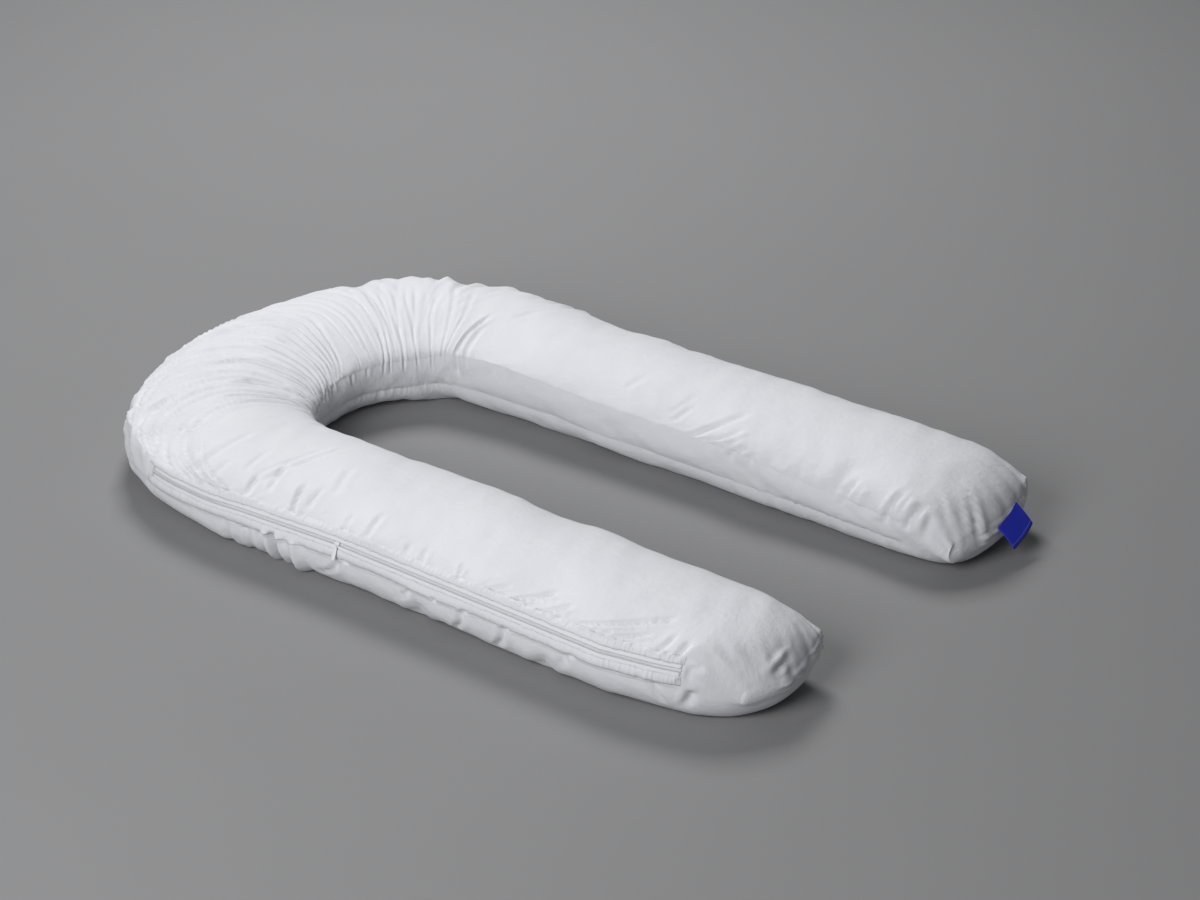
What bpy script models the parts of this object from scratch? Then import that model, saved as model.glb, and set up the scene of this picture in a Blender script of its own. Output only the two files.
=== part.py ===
"""U-shaped body pillow in a boxed cotton cover, with a side zip and a sewn-in label.

Metres, +Z up. The bend lies towards -X and the arms run to +X. The arm with the zip
lies at -Y and the arm with the label at +Y. The pillow rests on Z = 0, and the origin
is the middle of the whole thing's footprint.

A place is a distance along the pillow's centreline, from the near arm's end, round the
bend, to the far arm's end. A turn is a position round a cross-section: -1 to 1 goes over
the top panel from the inner seam to the outer one, 1 to 2 goes down the outer side strip,
2 to 3 goes under the outer edge to the floor, and the negative side mirrors it.
"""
import math

import bmesh
import bpy
import numpy as np

# Driving dimensions, in metres.
ARM_OFFSET = 0.315        # each arm's centreline from the middle line
ARM_END = 0.755           # where the arms end along X, from the middle of the body
BEND_CENTRE = -0.300      # where the arms turn into the bend along X
BEND_REACH = 0.275        # how far the bend's centreline goes past that
END_ZONE = 0.160          # length over which an arm closes to its end
END_ROUNDING = 0.50       # 0 leaves square corners in plan, 1 gives a round end
NEAR_ROUNDING = 0.75      # the same for the near arm's outer corner, which is rounder
# How far out the side strip's seams lie, as shares of the half width. The near arm's
# outer strip, which holds the zip, leans back: a row for each place and its upper seam.
LOW_SEAM_SHARES = {"outer": 0.985, "inner": 0.955}
INNER_TOP_SHARE = 1.0
OUTER_TOP_SHARES = ((0.00, 0.965), (0.12, 0.890), (1.00, 0.890), (1.20, 0.965))
FLAT_SHARE = 0.65         # part of the lower half width that lies flat on the floor
STRIP_BULGE = 0.006       # how far the side strip swells past its seams
SHOULDER_POWER = 0.95     # lower carries the top panel's fullness further out
END_FALL_POWERS = (2.3, 0.65)  # how late and how steeply the crown falls to an arm's end
RIM_SQUARENESS = 6.0      # how squarely the flat underside turns its corners
STATION_STEP_ARM = 0.020
STATION_STEP_BEND = 0.0095
BEND_FROM = 0.98          # the gathered stretch of the centreline
BEND_TO = 2.06

# A row for each section: its place, how far it is moved outwards from the plain U, its
# half width and crown, then the heights of the side strip's upper and lower seams on the
# outside and on the inside of the U. All are to the nearest 5 mm.
SECTION_COLUMNS = (
    "place", "outward", "half_width", "crown",
    "outer_top", "outer_low", "inner_top", "inner_low")
SECTIONS = (
    (0.00, -0.020, 0.120, 0.140, 0.060, 0.035, 0.085, 0.045),
    (0.10, -0.005, 0.130, 0.140, 0.110, 0.060, 0.085, 0.045),
    (0.25, 0.010, 0.145, 0.145, 0.110, 0.060, 0.090, 0.045),
    (0.80, 0.000, 0.145, 0.145, 0.110, 0.060, 0.090, 0.045),
    (1.00, 0.005, 0.145, 0.140, 0.105, 0.055, 0.090, 0.045),
    (1.10, 0.000, 0.150, 0.140, 0.100, 0.050, 0.085, 0.045),
    (1.25, 0.015, 0.165, 0.135, 0.100, 0.045, 0.080, 0.045),
    (1.50, 0.000, 0.165, 0.140, 0.100, 0.045, 0.100, 0.045),
    (1.80, 0.000, 0.170, 0.145, 0.100, 0.045, 0.100, 0.045),
    (2.05, 0.000, 0.145, 0.140, 0.100, 0.050, 0.115, 0.050),
    (2.30, 0.000, 0.140, 0.140, 0.100, 0.045, 0.105, 0.045),
    (2.60, 0.000, 0.140, 0.145, 0.100, 0.045, 0.105, 0.045),
    (2.75, 0.000, 0.140, 0.145, 0.100, 0.045, 0.090, 0.045),
    (2.95, 0.000, 0.140, 0.145, 0.095, 0.045, 0.080, 0.040),
    (3.03, -0.005, 0.140, 0.140, 0.090, 0.040, 0.055, 0.025),
)

# Round the bend the cover is gathered. A row for each stretch: its ends, the pitch of
# the gathers, and their height at the outer seam, over the crown and at the inner seam.
GATHER_COLUMNS = ("start", "stop", "pitch", "outer", "crown", "inner")
GATHERS = (
    (1.00, 1.70, 0.0190, 0.0042, 0.0020, 0.0022),
    (1.66, 2.02, 0.0285, 0.0030, 0.0016, 0.0026),
    (1.86, 2.26, 0.0380, 0.0036, 0.0008, 0.0004),
)

# Single folds. A row for each: its place at the middle, how far it leans along the pillow
# for each unit of turn, the turns where it fades in and out, its half width and height.
# A crease has a negative height.
FOLD_COLUMNS = ("place", "lean", "turn_from", "turn_to", "half_width", "height")
FOLDS = (
    (0.055, 0.06, 0.05, 0.95, 0.014, 0.0050),
    (0.085, 0.09, 0.20, 0.95, 0.013, -0.0050),
    (0.118, 0.05, 0.55, 1.05, 0.022, 0.0080),
    (0.150, 0.05, 0.45, 1.00, 0.016, -0.0045),
    (0.290, -0.17, 0.35, 0.98, 0.014, -0.0045),
    (0.345, -0.12, 0.45, 0.98, 0.013, -0.0035),
    (0.395, -0.08, 0.45, 0.98, 0.013, -0.0032),
    (0.545, -0.05, 0.20, 0.98, 0.016, -0.0042),
    (0.700, -0.03, 0.30, 0.95, 0.018, -0.0026),
    (0.800, -0.06, 0.10, 0.95, 0.016, -0.0040),
    (0.855, -0.06, 0.05, 0.85, 0.018, -0.0034),
    (0.905, -0.03, 0.30, 0.98, 0.014, -0.0060),
    (0.945, 0.06, -0.15, 0.70, 0.015, -0.0034),
    (1.000, 0.03, 0.30, 0.98, 0.013, -0.0046),
    (1.085, 0.04, 0.10, 0.85, 0.014, -0.0034),
    (1.540, 0.00, -2.30, -0.95, 0.014, -0.0050),
    (1.668, 0.00, -2.20, -0.20, 0.013, -0.0060),
    (1.755, 0.00, -2.30, -0.20, 0.013, -0.0056),
    (1.792, 0.00, -2.00, 0.10, 0.012, -0.0036),
    (1.868, 0.00, -1.20, 0.30, 0.012, -0.0034),
    (1.985, 0.00, -2.30, -0.10, 0.014, -0.0070),
    (2.070, 0.00, -2.20, -0.90, 0.014, -0.0036),
    (2.050, 0.12, -0.20, 0.40, 0.014, -0.0040),
    (2.545, 0.10, -2.10, -0.35, 0.018, -0.0060),
    (2.580, 0.06, -2.20, -0.55, 0.016, -0.0070),
    (2.618, 0.05, -1.90, -0.70, 0.016, 0.0044),
    (2.795, 0.06, -1.60, -0.40, 0.020, -0.0044),
    (2.900, 0.05, -2.10, -0.50, 0.018, -0.0046),
    (2.955, 0.02, -2.60, -0.85, 0.013, -0.0060),
    (2.985, -0.02, -2.60, -0.70, 0.012, -0.0080),
    (0.310, 0.00, 1.95, 2.85, 0.030, -0.0060),
    (0.400, 0.08, 1.95, 2.85, 0.026, -0.0080),
    (0.500, 0.08, 1.95, 2.85, 0.026, -0.0090),
    (0.620, 0.15, 1.95, 2.85, 0.032, -0.0080),
    (0.860, 0.00, 1.70, 2.85, 0.018, 0.0060),
    (0.925, 0.00, 1.70, 2.85, 0.016, -0.0120),
    (0.965, 0.00, 1.80, 2.85, 0.016, -0.0070),
    (1.040, 0.00, 1.70, 2.85, 0.018, -0.0060),
    (1.120, 0.00, 1.70, 2.85, 0.018, -0.0050),
)
FOLD_FADE = 0.22          # turn over which a fold comes and goes
GATHER_FADE = 0.06        # length over which a stretch of gathers comes and goes
GATHER_WANDER = (23.0, 0.8)   # unevenness of their pitch: waves per metre / 2 pi, depth
GATHER_SWELL = (41.0, 1.7, 0.3)  # unevenness of their height: along, round, depth

# Zip in the near arm's side strip.
ZIP_START = 0.105
ZIP_STOP = 1.165
ZIP_LOW_SHARE = 0.33      # the zip's edges, as shares of the side strip's height
ZIP_HIGH_SHARE = 0.93
ZIP_CHAIN_WIDTH = 0.0064
ZIP_CHAIN_HEIGHT = 0.0022
ZIP_TAPE_THICKNESS = 0.0010
ZIP_REST = 0.030          # the strip stays unfolded this far past the zip's ends
ZIP_LIFT = 0.0008         # its gap over the strip, which twists a little near the ends
PIECE_GAP = 0.00036       # left between the tapes and the chain

# Label in the far arm's end seam.
LABEL_ROOT_COLUMNS = (4.70, 6.10)  # its root's ends, in points of the end wall's rows
LABEL_ROOT_SHARES = (0.65, 0.92)   # and their heights, as shares of the strip's height
LABEL_GAP = 0.0006        # along X, which leaves 0.3 mm square to the slanting wall
LABEL_LENGTH = 0.045
LABEL_THICKNESS = 0.0012
LABEL_DROOP = math.radians(44)
LABEL_CURL = math.radians(14)
LABEL_SKEW = 0.06         # how far it swings outwards for each unit of length
LABEL_COLUMNS = 8
LABEL_ROWS = 6

TOP_TURNS = (-1.0, -0.93, -0.76, -0.52, -0.26, 0.0, 0.26, 0.52, 0.76, 0.93, 1.0)
UNDER_ANGLES = (90, 62, 32, 0)  # from the lower seam round to the flat, in degrees
FLAT_SPLITS = (0.5, 0.0, -0.5)  # points on the flat, as shares of its half width
STRIP_TURNS = (1.0 + 1.0 - ZIP_HIGH_SHARE, 1.0 + 1.0 - ZIP_LOW_SHARE)
COLLECTION_NAME = "body_pillow"


def table_column(table, columns, name):
    """Return one named column of a table as an array."""
    return np.array([row[columns.index(name)] for row in table])


def section_size(place, name):
    """Read a named size of the cross-section at each place."""
    places = table_column(SECTIONS, SECTION_COLUMNS, "place")
    return np.interp(place, places, table_column(SECTIONS, SECTION_COLUMNS, name))


def smooth_step(value):
    """Ease a value from 0 to 1."""
    value = np.clip(value, 0.0, 1.0)
    return value * value * (3.0 - 2.0 * value)


def centreline():
    """Return the U's centreline as points, their outward normals and their places."""
    run = np.linspace(ARM_END, BEND_CENTRE, 120, endpoint=False)
    angle = np.linspace(-math.pi / 2, -3 * math.pi / 2, 240)
    near_arm = np.column_stack((run, np.full_like(run, -ARM_OFFSET)))
    bend = np.column_stack(
        (BEND_CENTRE + BEND_REACH * np.cos(angle), ARM_OFFSET * np.sin(angle)))
    far_arm = (near_arm * (1, -1))[::-1]
    points = np.vstack((near_arm, bend, far_arm))
    steps = np.linalg.norm(np.diff(points, axis=0), axis=1)
    places = np.concatenate(([0.0], np.cumsum(steps)))
    tangents = np.gradient(points, places, axis=0)
    tangents /= np.linalg.norm(tangents, axis=1)[:, None]
    normals = np.column_stack((-tangents[:, 1], tangents[:, 0]))
    return points, normals, places


CENTRE_POINTS, CENTRE_NORMALS, CENTRE_PLACES = centreline()
TOTAL = float(CENTRE_PLACES[-1])


def end_closing(place):
    """Return how far a section is into an arm's end, from 0 to 1 at the very end."""
    from_end = np.minimum(place, TOTAL - place)
    return np.clip(1.0 - from_end / END_ZONE, 0.0, 1.0)


def plan_point(place, across):
    """Place a point of a section in plan.

    across is a share of the half width, positive towards the outside of the U. Near an
    arm's end the sections bow, so that the end is a rounded rectangle.
    """
    closing = end_closing(place)
    from_end = np.minimum(place, TOTAL - place)
    near_outer = (place < TOTAL / 2) & (across > 0)
    rounding = np.where(near_outer, NEAR_ROUNDING, END_ROUNDING)
    bowed = END_ZONE * (1.0 - closing * np.sqrt(1.0 - rounding * across**2 / 2))
    from_end = np.where(from_end < END_ZONE, bowed, from_end)
    bowed_place = np.where(place < TOTAL / 2, from_end, TOTAL - from_end)
    squeeze = np.sqrt(1.0 - rounding * closing**2 / 2)
    reach = across * squeeze * section_size(place, "half_width")
    reach = reach + section_size(place, "outward")
    x = np.interp(bowed_place, CENTRE_PLACES, CENTRE_POINTS[:, 0])
    y = np.interp(bowed_place, CENTRE_PLACES, CENTRE_POINTS[:, 1])
    normal_x = np.interp(bowed_place, CENTRE_PLACES, CENTRE_NORMALS[:, 0])
    normal_y = np.interp(bowed_place, CENTRE_PLACES, CENTRE_NORMALS[:, 1])
    return x + normal_x * reach, y + normal_y * reach


def seam_height(place, across, which):
    """Height of the upper or lower seam, blended from the inner side to the outer."""
    share = (1.0 + across) / 2.0
    inner = section_size(place, "inner_" + which)
    outer = section_size(place, "outer_" + which)
    return inner + (outer - inner) * share


def seam_share(place, across, which):
    """How far out the upper or lower seam lies on the side that across points to."""
    if which == "low":
        return LOW_SEAM_SHARES["outer" if across > 0 else "inner"]
    return np.interp(place, *zip(*OUTER_TOP_SHARES)) if across > 0 else INNER_TOP_SHARE


def top_point(place, turn):
    """Point of the top panel."""
    angle = turn * math.pi / 2
    across = np.sign(turn) * np.abs(np.sin(angle)) ** SHOULDER_POWER
    x, y = plan_point(place, across * seam_share(place, turn, "top"))
    seam = seam_height(place, turn, "top")
    late, steep = END_FALL_POWERS
    fullness = np.cos(angle) * (1.0 - end_closing(place) ** late) ** steep
    return x, y, seam + (section_size(place, "crown") - seam) * fullness


def strip_point(place, side, share):
    """Point of the side strip; share runs from its lower seam (0) to its upper (1)."""
    swell = STRIP_BULGE * 4.0 * share * (1.0 - share) / section_size(place, "half_width")
    low_share = seam_share(place, side, "low")
    top_share = seam_share(place, side, "top")
    across = low_share + (top_share - low_share) * share + swell
    x, y = plan_point(place, side * across)
    low = seam_height(place, side, "low")
    high = seam_height(place, side, "top")
    return x, y, low + (high - low) * share


def under_point(place, across):
    """Point of the bottom panel, which lies flat in the middle and curls up to its seam."""
    x, y = plan_point(place, across * seam_share(place, across, "low"))
    power = RIM_SQUARENESS
    rim = (np.abs(across) ** power + end_closing(place) ** power) ** (1.0 / power)
    rise = np.clip((rim - FLAT_SHARE) / (1.0 - FLAT_SHARE), 0.0, 1.0)
    return x, y, seam_height(place, across, "low") * (1.0 - np.sqrt(1.0 - rise**2))


def under_shares():
    """Shares of the half width at which the bottom panel has points, outside to inside."""
    curl = [FLAT_SHARE + (1 - FLAT_SHARE) * math.sin(math.radians(a)) for a in UNDER_ANGLES]
    flat = [FLAT_SHARE * split for split in FLAT_SPLITS]
    return curl + flat + [-share for share in reversed(curl)]


def ring_at(place):
    """Return one section's points and turns: top, outer strip, underside, inner strip."""
    points = [top_point(place, turn) for turn in TOP_TURNS]
    turns = list(TOP_TURNS)
    for turn in STRIP_TURNS:
        points.append(strip_point(place, 1, 2.0 - turn))
        turns.append(turn)
    for across in under_shares():
        points.append(under_point(place, across))
        curl = (1.0 - abs(across)) / (1.0 - FLAT_SHARE)
        turns.append(math.copysign(2.0 + curl, across))
    for turn in reversed(STRIP_TURNS):
        points.append(strip_point(place, -1, 2.0 - turn))
        turns.append(-turn)
    return [[float(v) for v in point] for point in points], turns


def station_places():
    """Places of the sections: dense at the ends and round the gathered bend."""
    closing = np.sin(np.radians((90, 78, 64, 50, 36, 20)))
    end = END_ZONE * (1.0 - closing)
    arm = np.arange(END_ZONE - 0.02, BEND_FROM, STATION_STEP_ARM)
    bend = np.arange(BEND_FROM, BEND_TO, STATION_STEP_BEND)
    far_arm = np.arange(BEND_TO, TOTAL - END_ZONE + 0.02, STATION_STEP_ARM)
    return np.concatenate((end, arm, bend, far_arm, TOTAL - end[::-1]))


def gather_height(place, turn):
    """Height of the gathers: ridges and troughs across the bend, of uneven strength."""
    wander, wander_depth = GATHER_WANDER
    swell_along, swell_round, swell_depth = GATHER_SWELL
    swell = np.sin(place * swell_along + turn * swell_round)
    uneven = 1.0 - swell_depth * (1.0 - swell)
    height = np.zeros_like(place)
    for start, stop, pitch, outer, crown, inner in GATHERS:
        levels = (0.3 * inner, inner, crown, outer, 0.5 * outer, 0.0)
        strength = np.interp(turn, (-2.0, -0.95, 0.0, 0.9, 1.3, 2.0), levels)
        envelope = smooth_step((place - start) / GATHER_FADE)
        envelope = envelope * smooth_step((stop - place) / GATHER_FADE)
        phase = 2 * math.pi * place / pitch + wander_depth * np.sin(place * wander)
        height += strength * envelope * uneven * np.cos(phase)
    return height


def fold_height(place, turn):
    """Height of the single folds and creases."""
    height = np.zeros_like(place)
    for middle, lean, turn_from, turn_to, half_width, rise in FOLDS:
        centre = middle + lean * (turn - (turn_from + turn_to) / 2)
        fade = smooth_step((turn - turn_from) / FOLD_FADE + 0.5)
        fade = fade * smooth_step((turn_to - turn) / FOLD_FADE + 0.5)
        height += rise * fade * np.exp(-(((place - centre) / half_width) ** 2))
    return height


def relief(place, turn):
    """Height of all folds above the plain form; the flat and the zip's bed stay plain."""
    height = gather_height(place, turn) + fold_height(place, turn)
    in_strip = (turn > 1.01) & (turn < 1.99)
    under_zip = in_strip & (place > ZIP_START - ZIP_REST) & (place < ZIP_STOP + ZIP_REST)
    resting = np.abs(turn) > 2.99
    return np.where(under_zip | resting, 0.0, height)


def surface_normals(grid):
    """Outward normals of a grid of rings, from its neighbours along and around."""
    along = np.gradient(grid, axis=0)
    around = np.roll(grid, -1, axis=1) - np.roll(grid, 1, axis=1)
    normals = np.cross(along, around)
    return normals / np.linalg.norm(normals, axis=2)[:, :, None]


def body_grid():
    """Return the pillow's rings of points, folds included, and their places."""
    places = station_places()
    rings = [ring_at(place) for place in places]
    grid = np.array([points for points, _ in rings])
    turns = np.array([turns for _, turns in rings])
    heights = relief(np.repeat(places[:, None], grid.shape[1], axis=1), turns)
    grid = grid + surface_normals(grid) * heights[:, :, None]
    grid[:, :, 2] = np.maximum(grid[:, :, 2], 0.0)
    return grid, places


def ring_sides(ring):
    """Split a ring into its top, outer strip, underside and inner strip.

    The top and the underside run from the inside of the U to the outside, and the two
    strips run downwards.
    """
    top_count = len(TOP_TURNS)
    rows = len(STRIP_TURNS)
    top = ring[:top_count]
    outer = ring[top_count:top_count + rows]
    bottom = ring[top_count + rows:2 * top_count + rows][::-1]
    inner = ring[2 * top_count + rows:][::-1]
    return top, outer, bottom, inner


def end_wall_rows(ring):
    """Points of an arm's closed end: the side strip, swelling a little past its seams."""
    top, outer, bottom, inner = ring_sides(ring)
    rows = [top]
    for index, turn in enumerate(STRIP_TURNS):
        share = 2.0 - turn
        row = bottom + (top - bottom) * share
        row[:, 0] += STRIP_BULGE * 4.0 * share * (1.0 - share)
        row[0] = inner[index]
        row[-1] = outer[index]
        rows.append(row)
    rows.append(bottom)
    return np.array(rows)


def add_end_wall(mesh, ring, reverse):
    """Close an arm's end between the vertices of its last ring."""
    points = end_wall_rows(np.array([tuple(vertex.co) for vertex in ring]))
    top, outer, bottom, inner = ring_sides(ring)
    rows = [top]
    for index in range(len(STRIP_TURNS)):
        middle = [mesh.verts.new(point) for point in points[index + 1, 1:-1]]
        rows.append([inner[index], *middle, outer[index]])
    rows.append(bottom)
    for upper, lower in zip(rows, rows[1:]):
        for index in range(len(upper) - 1):
            face = [upper[index], upper[index + 1], lower[index + 1], lower[index]]
            mesh.faces.new(face[::-1] if reverse else face)


def new_object(name, mesh_data, material, collection):
    """Finish a mesh: outward faces, smooth shading, its material and its collection."""
    mesh = bmesh.new()
    mesh.from_mesh(mesh_data)
    bmesh.ops.recalc_face_normals(mesh, faces=mesh.faces)
    mesh.to_mesh(mesh_data)
    mesh.free()
    mesh_data.shade_smooth()
    mesh_data.materials.append(material)
    item = bpy.data.objects.new(name, mesh_data)
    collection.objects.link(item)
    return item


def loft(name, grid, material, collection, closing=None):
    """Skin a grid of closed rings; closing builds each end, or else each is one face."""
    mesh = bmesh.new()
    rings = [[mesh.verts.new(point) for point in ring] for ring in grid]
    for ring, following in zip(rings, rings[1:]):
        for index in range(len(ring)):
            after = (index + 1) % len(ring)
            mesh.faces.new((ring[index], following[index], following[after], ring[after]))
    if closing is None:
        mesh.faces.new(rings[0])
        mesh.faces.new(rings[-1][::-1])
    else:
        closing(mesh, rings[0], False)
        closing(mesh, rings[-1], True)
    data = bpy.data.meshes.new(name)
    mesh.to_mesh(data)
    mesh.free()
    return new_object(name, data, material, collection)


def build_zip(body, places, tape, chain, collection):
    """Sweep the two tapes and the closed chain between them along the side strip."""
    first = len(TOP_TURNS)
    chosen = (places > ZIP_START) & (places < ZIP_STOP)
    high = body[chosen, first]
    low = body[chosen, first + 1]
    middle = (high + low) / 2
    half = np.linalg.norm(high - low, axis=1)[:, None] / 2
    upward = (high - low) / (2 * half)
    along = np.gradient(middle, axis=0)
    outward = np.cross(upward, along)
    outward /= np.linalg.norm(outward, axis=1)[:, None]
    if outward[0, 1] > 0:
        outward = -outward
    chain_half = ZIP_CHAIN_WIDTH / 2
    inset = chain_half + PIECE_GAP
    back = ZIP_LIFT
    pieces = (
        ("zip_tape_upper", np.full_like(half, inset), half - PIECE_GAP,
         ZIP_TAPE_THICKNESS, tape),
        ("zip_tape_lower", -half + PIECE_GAP, np.full_like(half, -inset),
         ZIP_TAPE_THICKNESS, tape),
        ("zip_chain", np.full_like(half, -chain_half), np.full_like(half, chain_half),
         ZIP_CHAIN_HEIGHT, chain),
    )
    for name, bottom, top, thickness, material in pieces:
        corners = ((bottom, back), (top, back), (top, back + thickness),
                   (bottom, back + thickness))
        rings = np.stack(
            [middle + upward * rise + outward * depth for rise, depth in corners], axis=1)
        loft(name, rings, material, collection)


def end_wall_point(wall, column, share):
    """Point on a closed end; share runs up the strip from its lower seam."""
    heights = [0.0] + [2.0 - turn for turn in reversed(STRIP_TURNS)] + [1.0]
    columns = np.arange(wall.shape[1])
    across = [[np.interp(column, columns, row[:, axis]) for axis in range(3)]
              for row in wall[::-1]]
    return np.array([np.interp(share, heights, values) for values in zip(*across)])


def build_label(body, material, collection):
    """Fold of woven tape sewn into the end, standing out and drooping with a curl."""
    wall = end_wall_rows(body[-1])
    grid = []
    for share in np.linspace(0.0, 1.0, LABEL_COLUMNS + 1):
        column = LABEL_ROOT_COLUMNS[0] + share * np.ptp(LABEL_ROOT_COLUMNS)
        rise = LABEL_ROOT_SHARES[0] + share * np.ptp(LABEL_ROOT_SHARES)
        line = [end_wall_point(wall, column, rise) + (LABEL_GAP, 0.0, 0.0)]
        for row in range(LABEL_ROWS):
            angle = LABEL_DROOP + LABEL_CURL * (row / (LABEL_ROWS - 1) - 0.5)
            step = np.array((math.cos(angle), LABEL_SKEW, -math.sin(angle)))
            line.append(line[-1] + step * LABEL_LENGTH / LABEL_ROWS)
        grid.append(line)
    lift = LABEL_THICKNESS * np.array((math.sin(LABEL_DROOP), 0.0, math.cos(LABEL_DROOP)))
    rings = [np.vstack((line, line[::-1] + lift)) for line in np.array(grid)]
    loft("label", np.array(rings), material, collection)


def new_material(name, colour, roughness):
    """Plain material with a colour and a roughness."""
    material = bpy.data.materials.new(name)
    material.use_nodes = True
    shader = material.node_tree.nodes["Principled BSDF"]
    shader.inputs["Base Color"].default_value = (*colour, 1.0)
    shader.inputs["Roughness"].default_value = roughness
    shader.inputs["Metallic"].default_value = 0.0
    return material


def centre_on_base(collection):
    """Move every piece so that the footprint's middle is the origin, on the floor."""
    points = np.array(
        [tuple(vertex.co) for item in collection.objects for vertex in item.data.vertices])
    low = points.min(axis=0)
    high = points.max(axis=0)
    middle = ((low[0] + high[0]) / 2, (low[1] + high[1]) / 2, low[2])
    for item in collection.objects:
        for vertex in item.data.vertices:
            vertex.co.x -= middle[0]
            vertex.co.y -= middle[1]
            vertex.co.z -= middle[2]


def main():
    """Clear the scene and build the pillow."""
    for item in list(bpy.data.objects):
        bpy.data.objects.remove(item, do_unlink=True)
    collection = bpy.data.collections.new(COLLECTION_NAME)
    bpy.context.scene.collection.children.link(collection)
    cotton = new_material("cover_cotton", (0.84, 0.85, 0.88), 0.85)
    tape = new_material("zip_tape", (0.80, 0.81, 0.84), 0.75)
    chain = new_material("zip_coil", (0.72, 0.73, 0.76), 0.50)
    woven = new_material("label_weave", (0.01, 0.04, 0.42), 0.60)
    body, places = body_grid()
    loft("pillow", body, cotton, collection, add_end_wall)
    build_zip(body, places, tape, chain, collection)
    build_label(body, woven, collection)
    centre_on_base(collection)


main()
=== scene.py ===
"""U-shaped body pillow in a white zipped cotton cover, dressed round its CAD frame.

Metres, +Z up. The bend lies towards -X and the two arms run to +X, with the zip in the arm
at -Y and the label on the arm at +Y.

A place is a distance along the pillow's centreline, from the near arm's end, round the
bend, to the far arm's end. A turn is a position round a cross-section: -1 to 1 goes over
the top panel from the inner seam to the outer one, 1 to 2 goes down the outer side strip,
2 to 3 goes under the outer edge to the floor, and the negative side mirrors it.
"""
import logging
import math
from dataclasses import dataclass, field, replace
from enum import Enum

import bpy
import numpy as np
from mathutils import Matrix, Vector


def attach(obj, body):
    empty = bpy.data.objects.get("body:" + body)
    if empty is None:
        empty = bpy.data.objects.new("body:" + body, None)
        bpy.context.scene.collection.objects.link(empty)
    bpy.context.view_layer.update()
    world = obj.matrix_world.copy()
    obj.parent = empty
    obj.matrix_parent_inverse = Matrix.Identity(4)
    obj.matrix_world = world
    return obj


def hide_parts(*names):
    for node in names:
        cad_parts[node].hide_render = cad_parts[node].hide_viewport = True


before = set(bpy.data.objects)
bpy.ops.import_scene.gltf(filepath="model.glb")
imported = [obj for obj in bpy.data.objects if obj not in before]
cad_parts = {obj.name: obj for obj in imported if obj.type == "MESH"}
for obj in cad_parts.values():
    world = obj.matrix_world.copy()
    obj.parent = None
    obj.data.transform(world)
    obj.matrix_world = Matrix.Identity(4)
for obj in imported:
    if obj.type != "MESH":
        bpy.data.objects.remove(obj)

LOGGER = logging.getLogger("body_pillow")
BODY = "root"
COVER_PIECE = "cotton_cover"
SEAM_TURNS = (-2.0, -1.0, 1.0, 2.0)
CENTRE_SHIFT = (0.0243, 0.0003)  # from the plain U's own middle to the footprint's middle
SECTION_COLUMNS = (
    "place", "outward", "half_width", "crown",
    "outer_top", "outer_low", "inner_top", "inner_low")
SECTIONS = (
    (0.00, -0.020, 0.120, 0.140, 0.060, 0.035, 0.085, 0.045),
    (0.10, -0.005, 0.130, 0.140, 0.110, 0.060, 0.085, 0.045),
    (0.25, 0.010, 0.145, 0.145, 0.110, 0.060, 0.090, 0.045),
    (0.80, 0.000, 0.145, 0.145, 0.110, 0.060, 0.090, 0.045),
    (1.00, 0.005, 0.145, 0.140, 0.105, 0.055, 0.090, 0.045),
    (1.10, 0.000, 0.150, 0.140, 0.100, 0.050, 0.085, 0.045),
    (1.25, 0.015, 0.165, 0.135, 0.100, 0.045, 0.080, 0.045),
    (1.50, 0.000, 0.165, 0.140, 0.100, 0.045, 0.100, 0.045),
    (1.80, 0.000, 0.170, 0.145, 0.100, 0.045, 0.100, 0.045),
    (2.05, 0.000, 0.145, 0.140, 0.100, 0.050, 0.115, 0.050),
    (2.30, 0.000, 0.140, 0.140, 0.100, 0.045, 0.105, 0.045),
    (2.60, 0.000, 0.140, 0.145, 0.100, 0.045, 0.105, 0.045),
    (2.75, 0.000, 0.140, 0.145, 0.100, 0.045, 0.090, 0.045),
    (2.95, 0.000, 0.140, 0.145, 0.095, 0.045, 0.080, 0.040),
    (3.03, -0.005, 0.140, 0.140, 0.090, 0.040, 0.055, 0.025),
)
Point = tuple[float, float]
Triple = tuple[float, float, float]
Colour = tuple[float, float, float]
Faces = list[tuple[int, ...]]
Line = tuple[Point, ...]
Array = np.ndarray
Socket = bpy.types.NodeSocket
Piece = bpy.types.Object


def smooth_step(value: Array) -> Array:
    """Ease a value from 0 to 1."""
    value = np.clip(value, 0.0, 1.0)
    return value * value * (3.0 - 2.0 * value)


def come_and_go(value: Array, start: float, stop: float, ease: float,
                lead: float = 0.0) -> Array:
    """Ease from 0 to 1 past a start and back to 0 before a stop.

    Args:
        value: what it depends on.
        start: where it begins.
        stop: where it ends.
        ease: how long it takes to change.
        lead: share of the ease by which it starts early and ends late.

    Returns:
        The eased values.
    """
    rise = smooth_step((value - start) / ease + lead)
    return rise * smooth_step((stop - value) / ease + lead)


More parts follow.
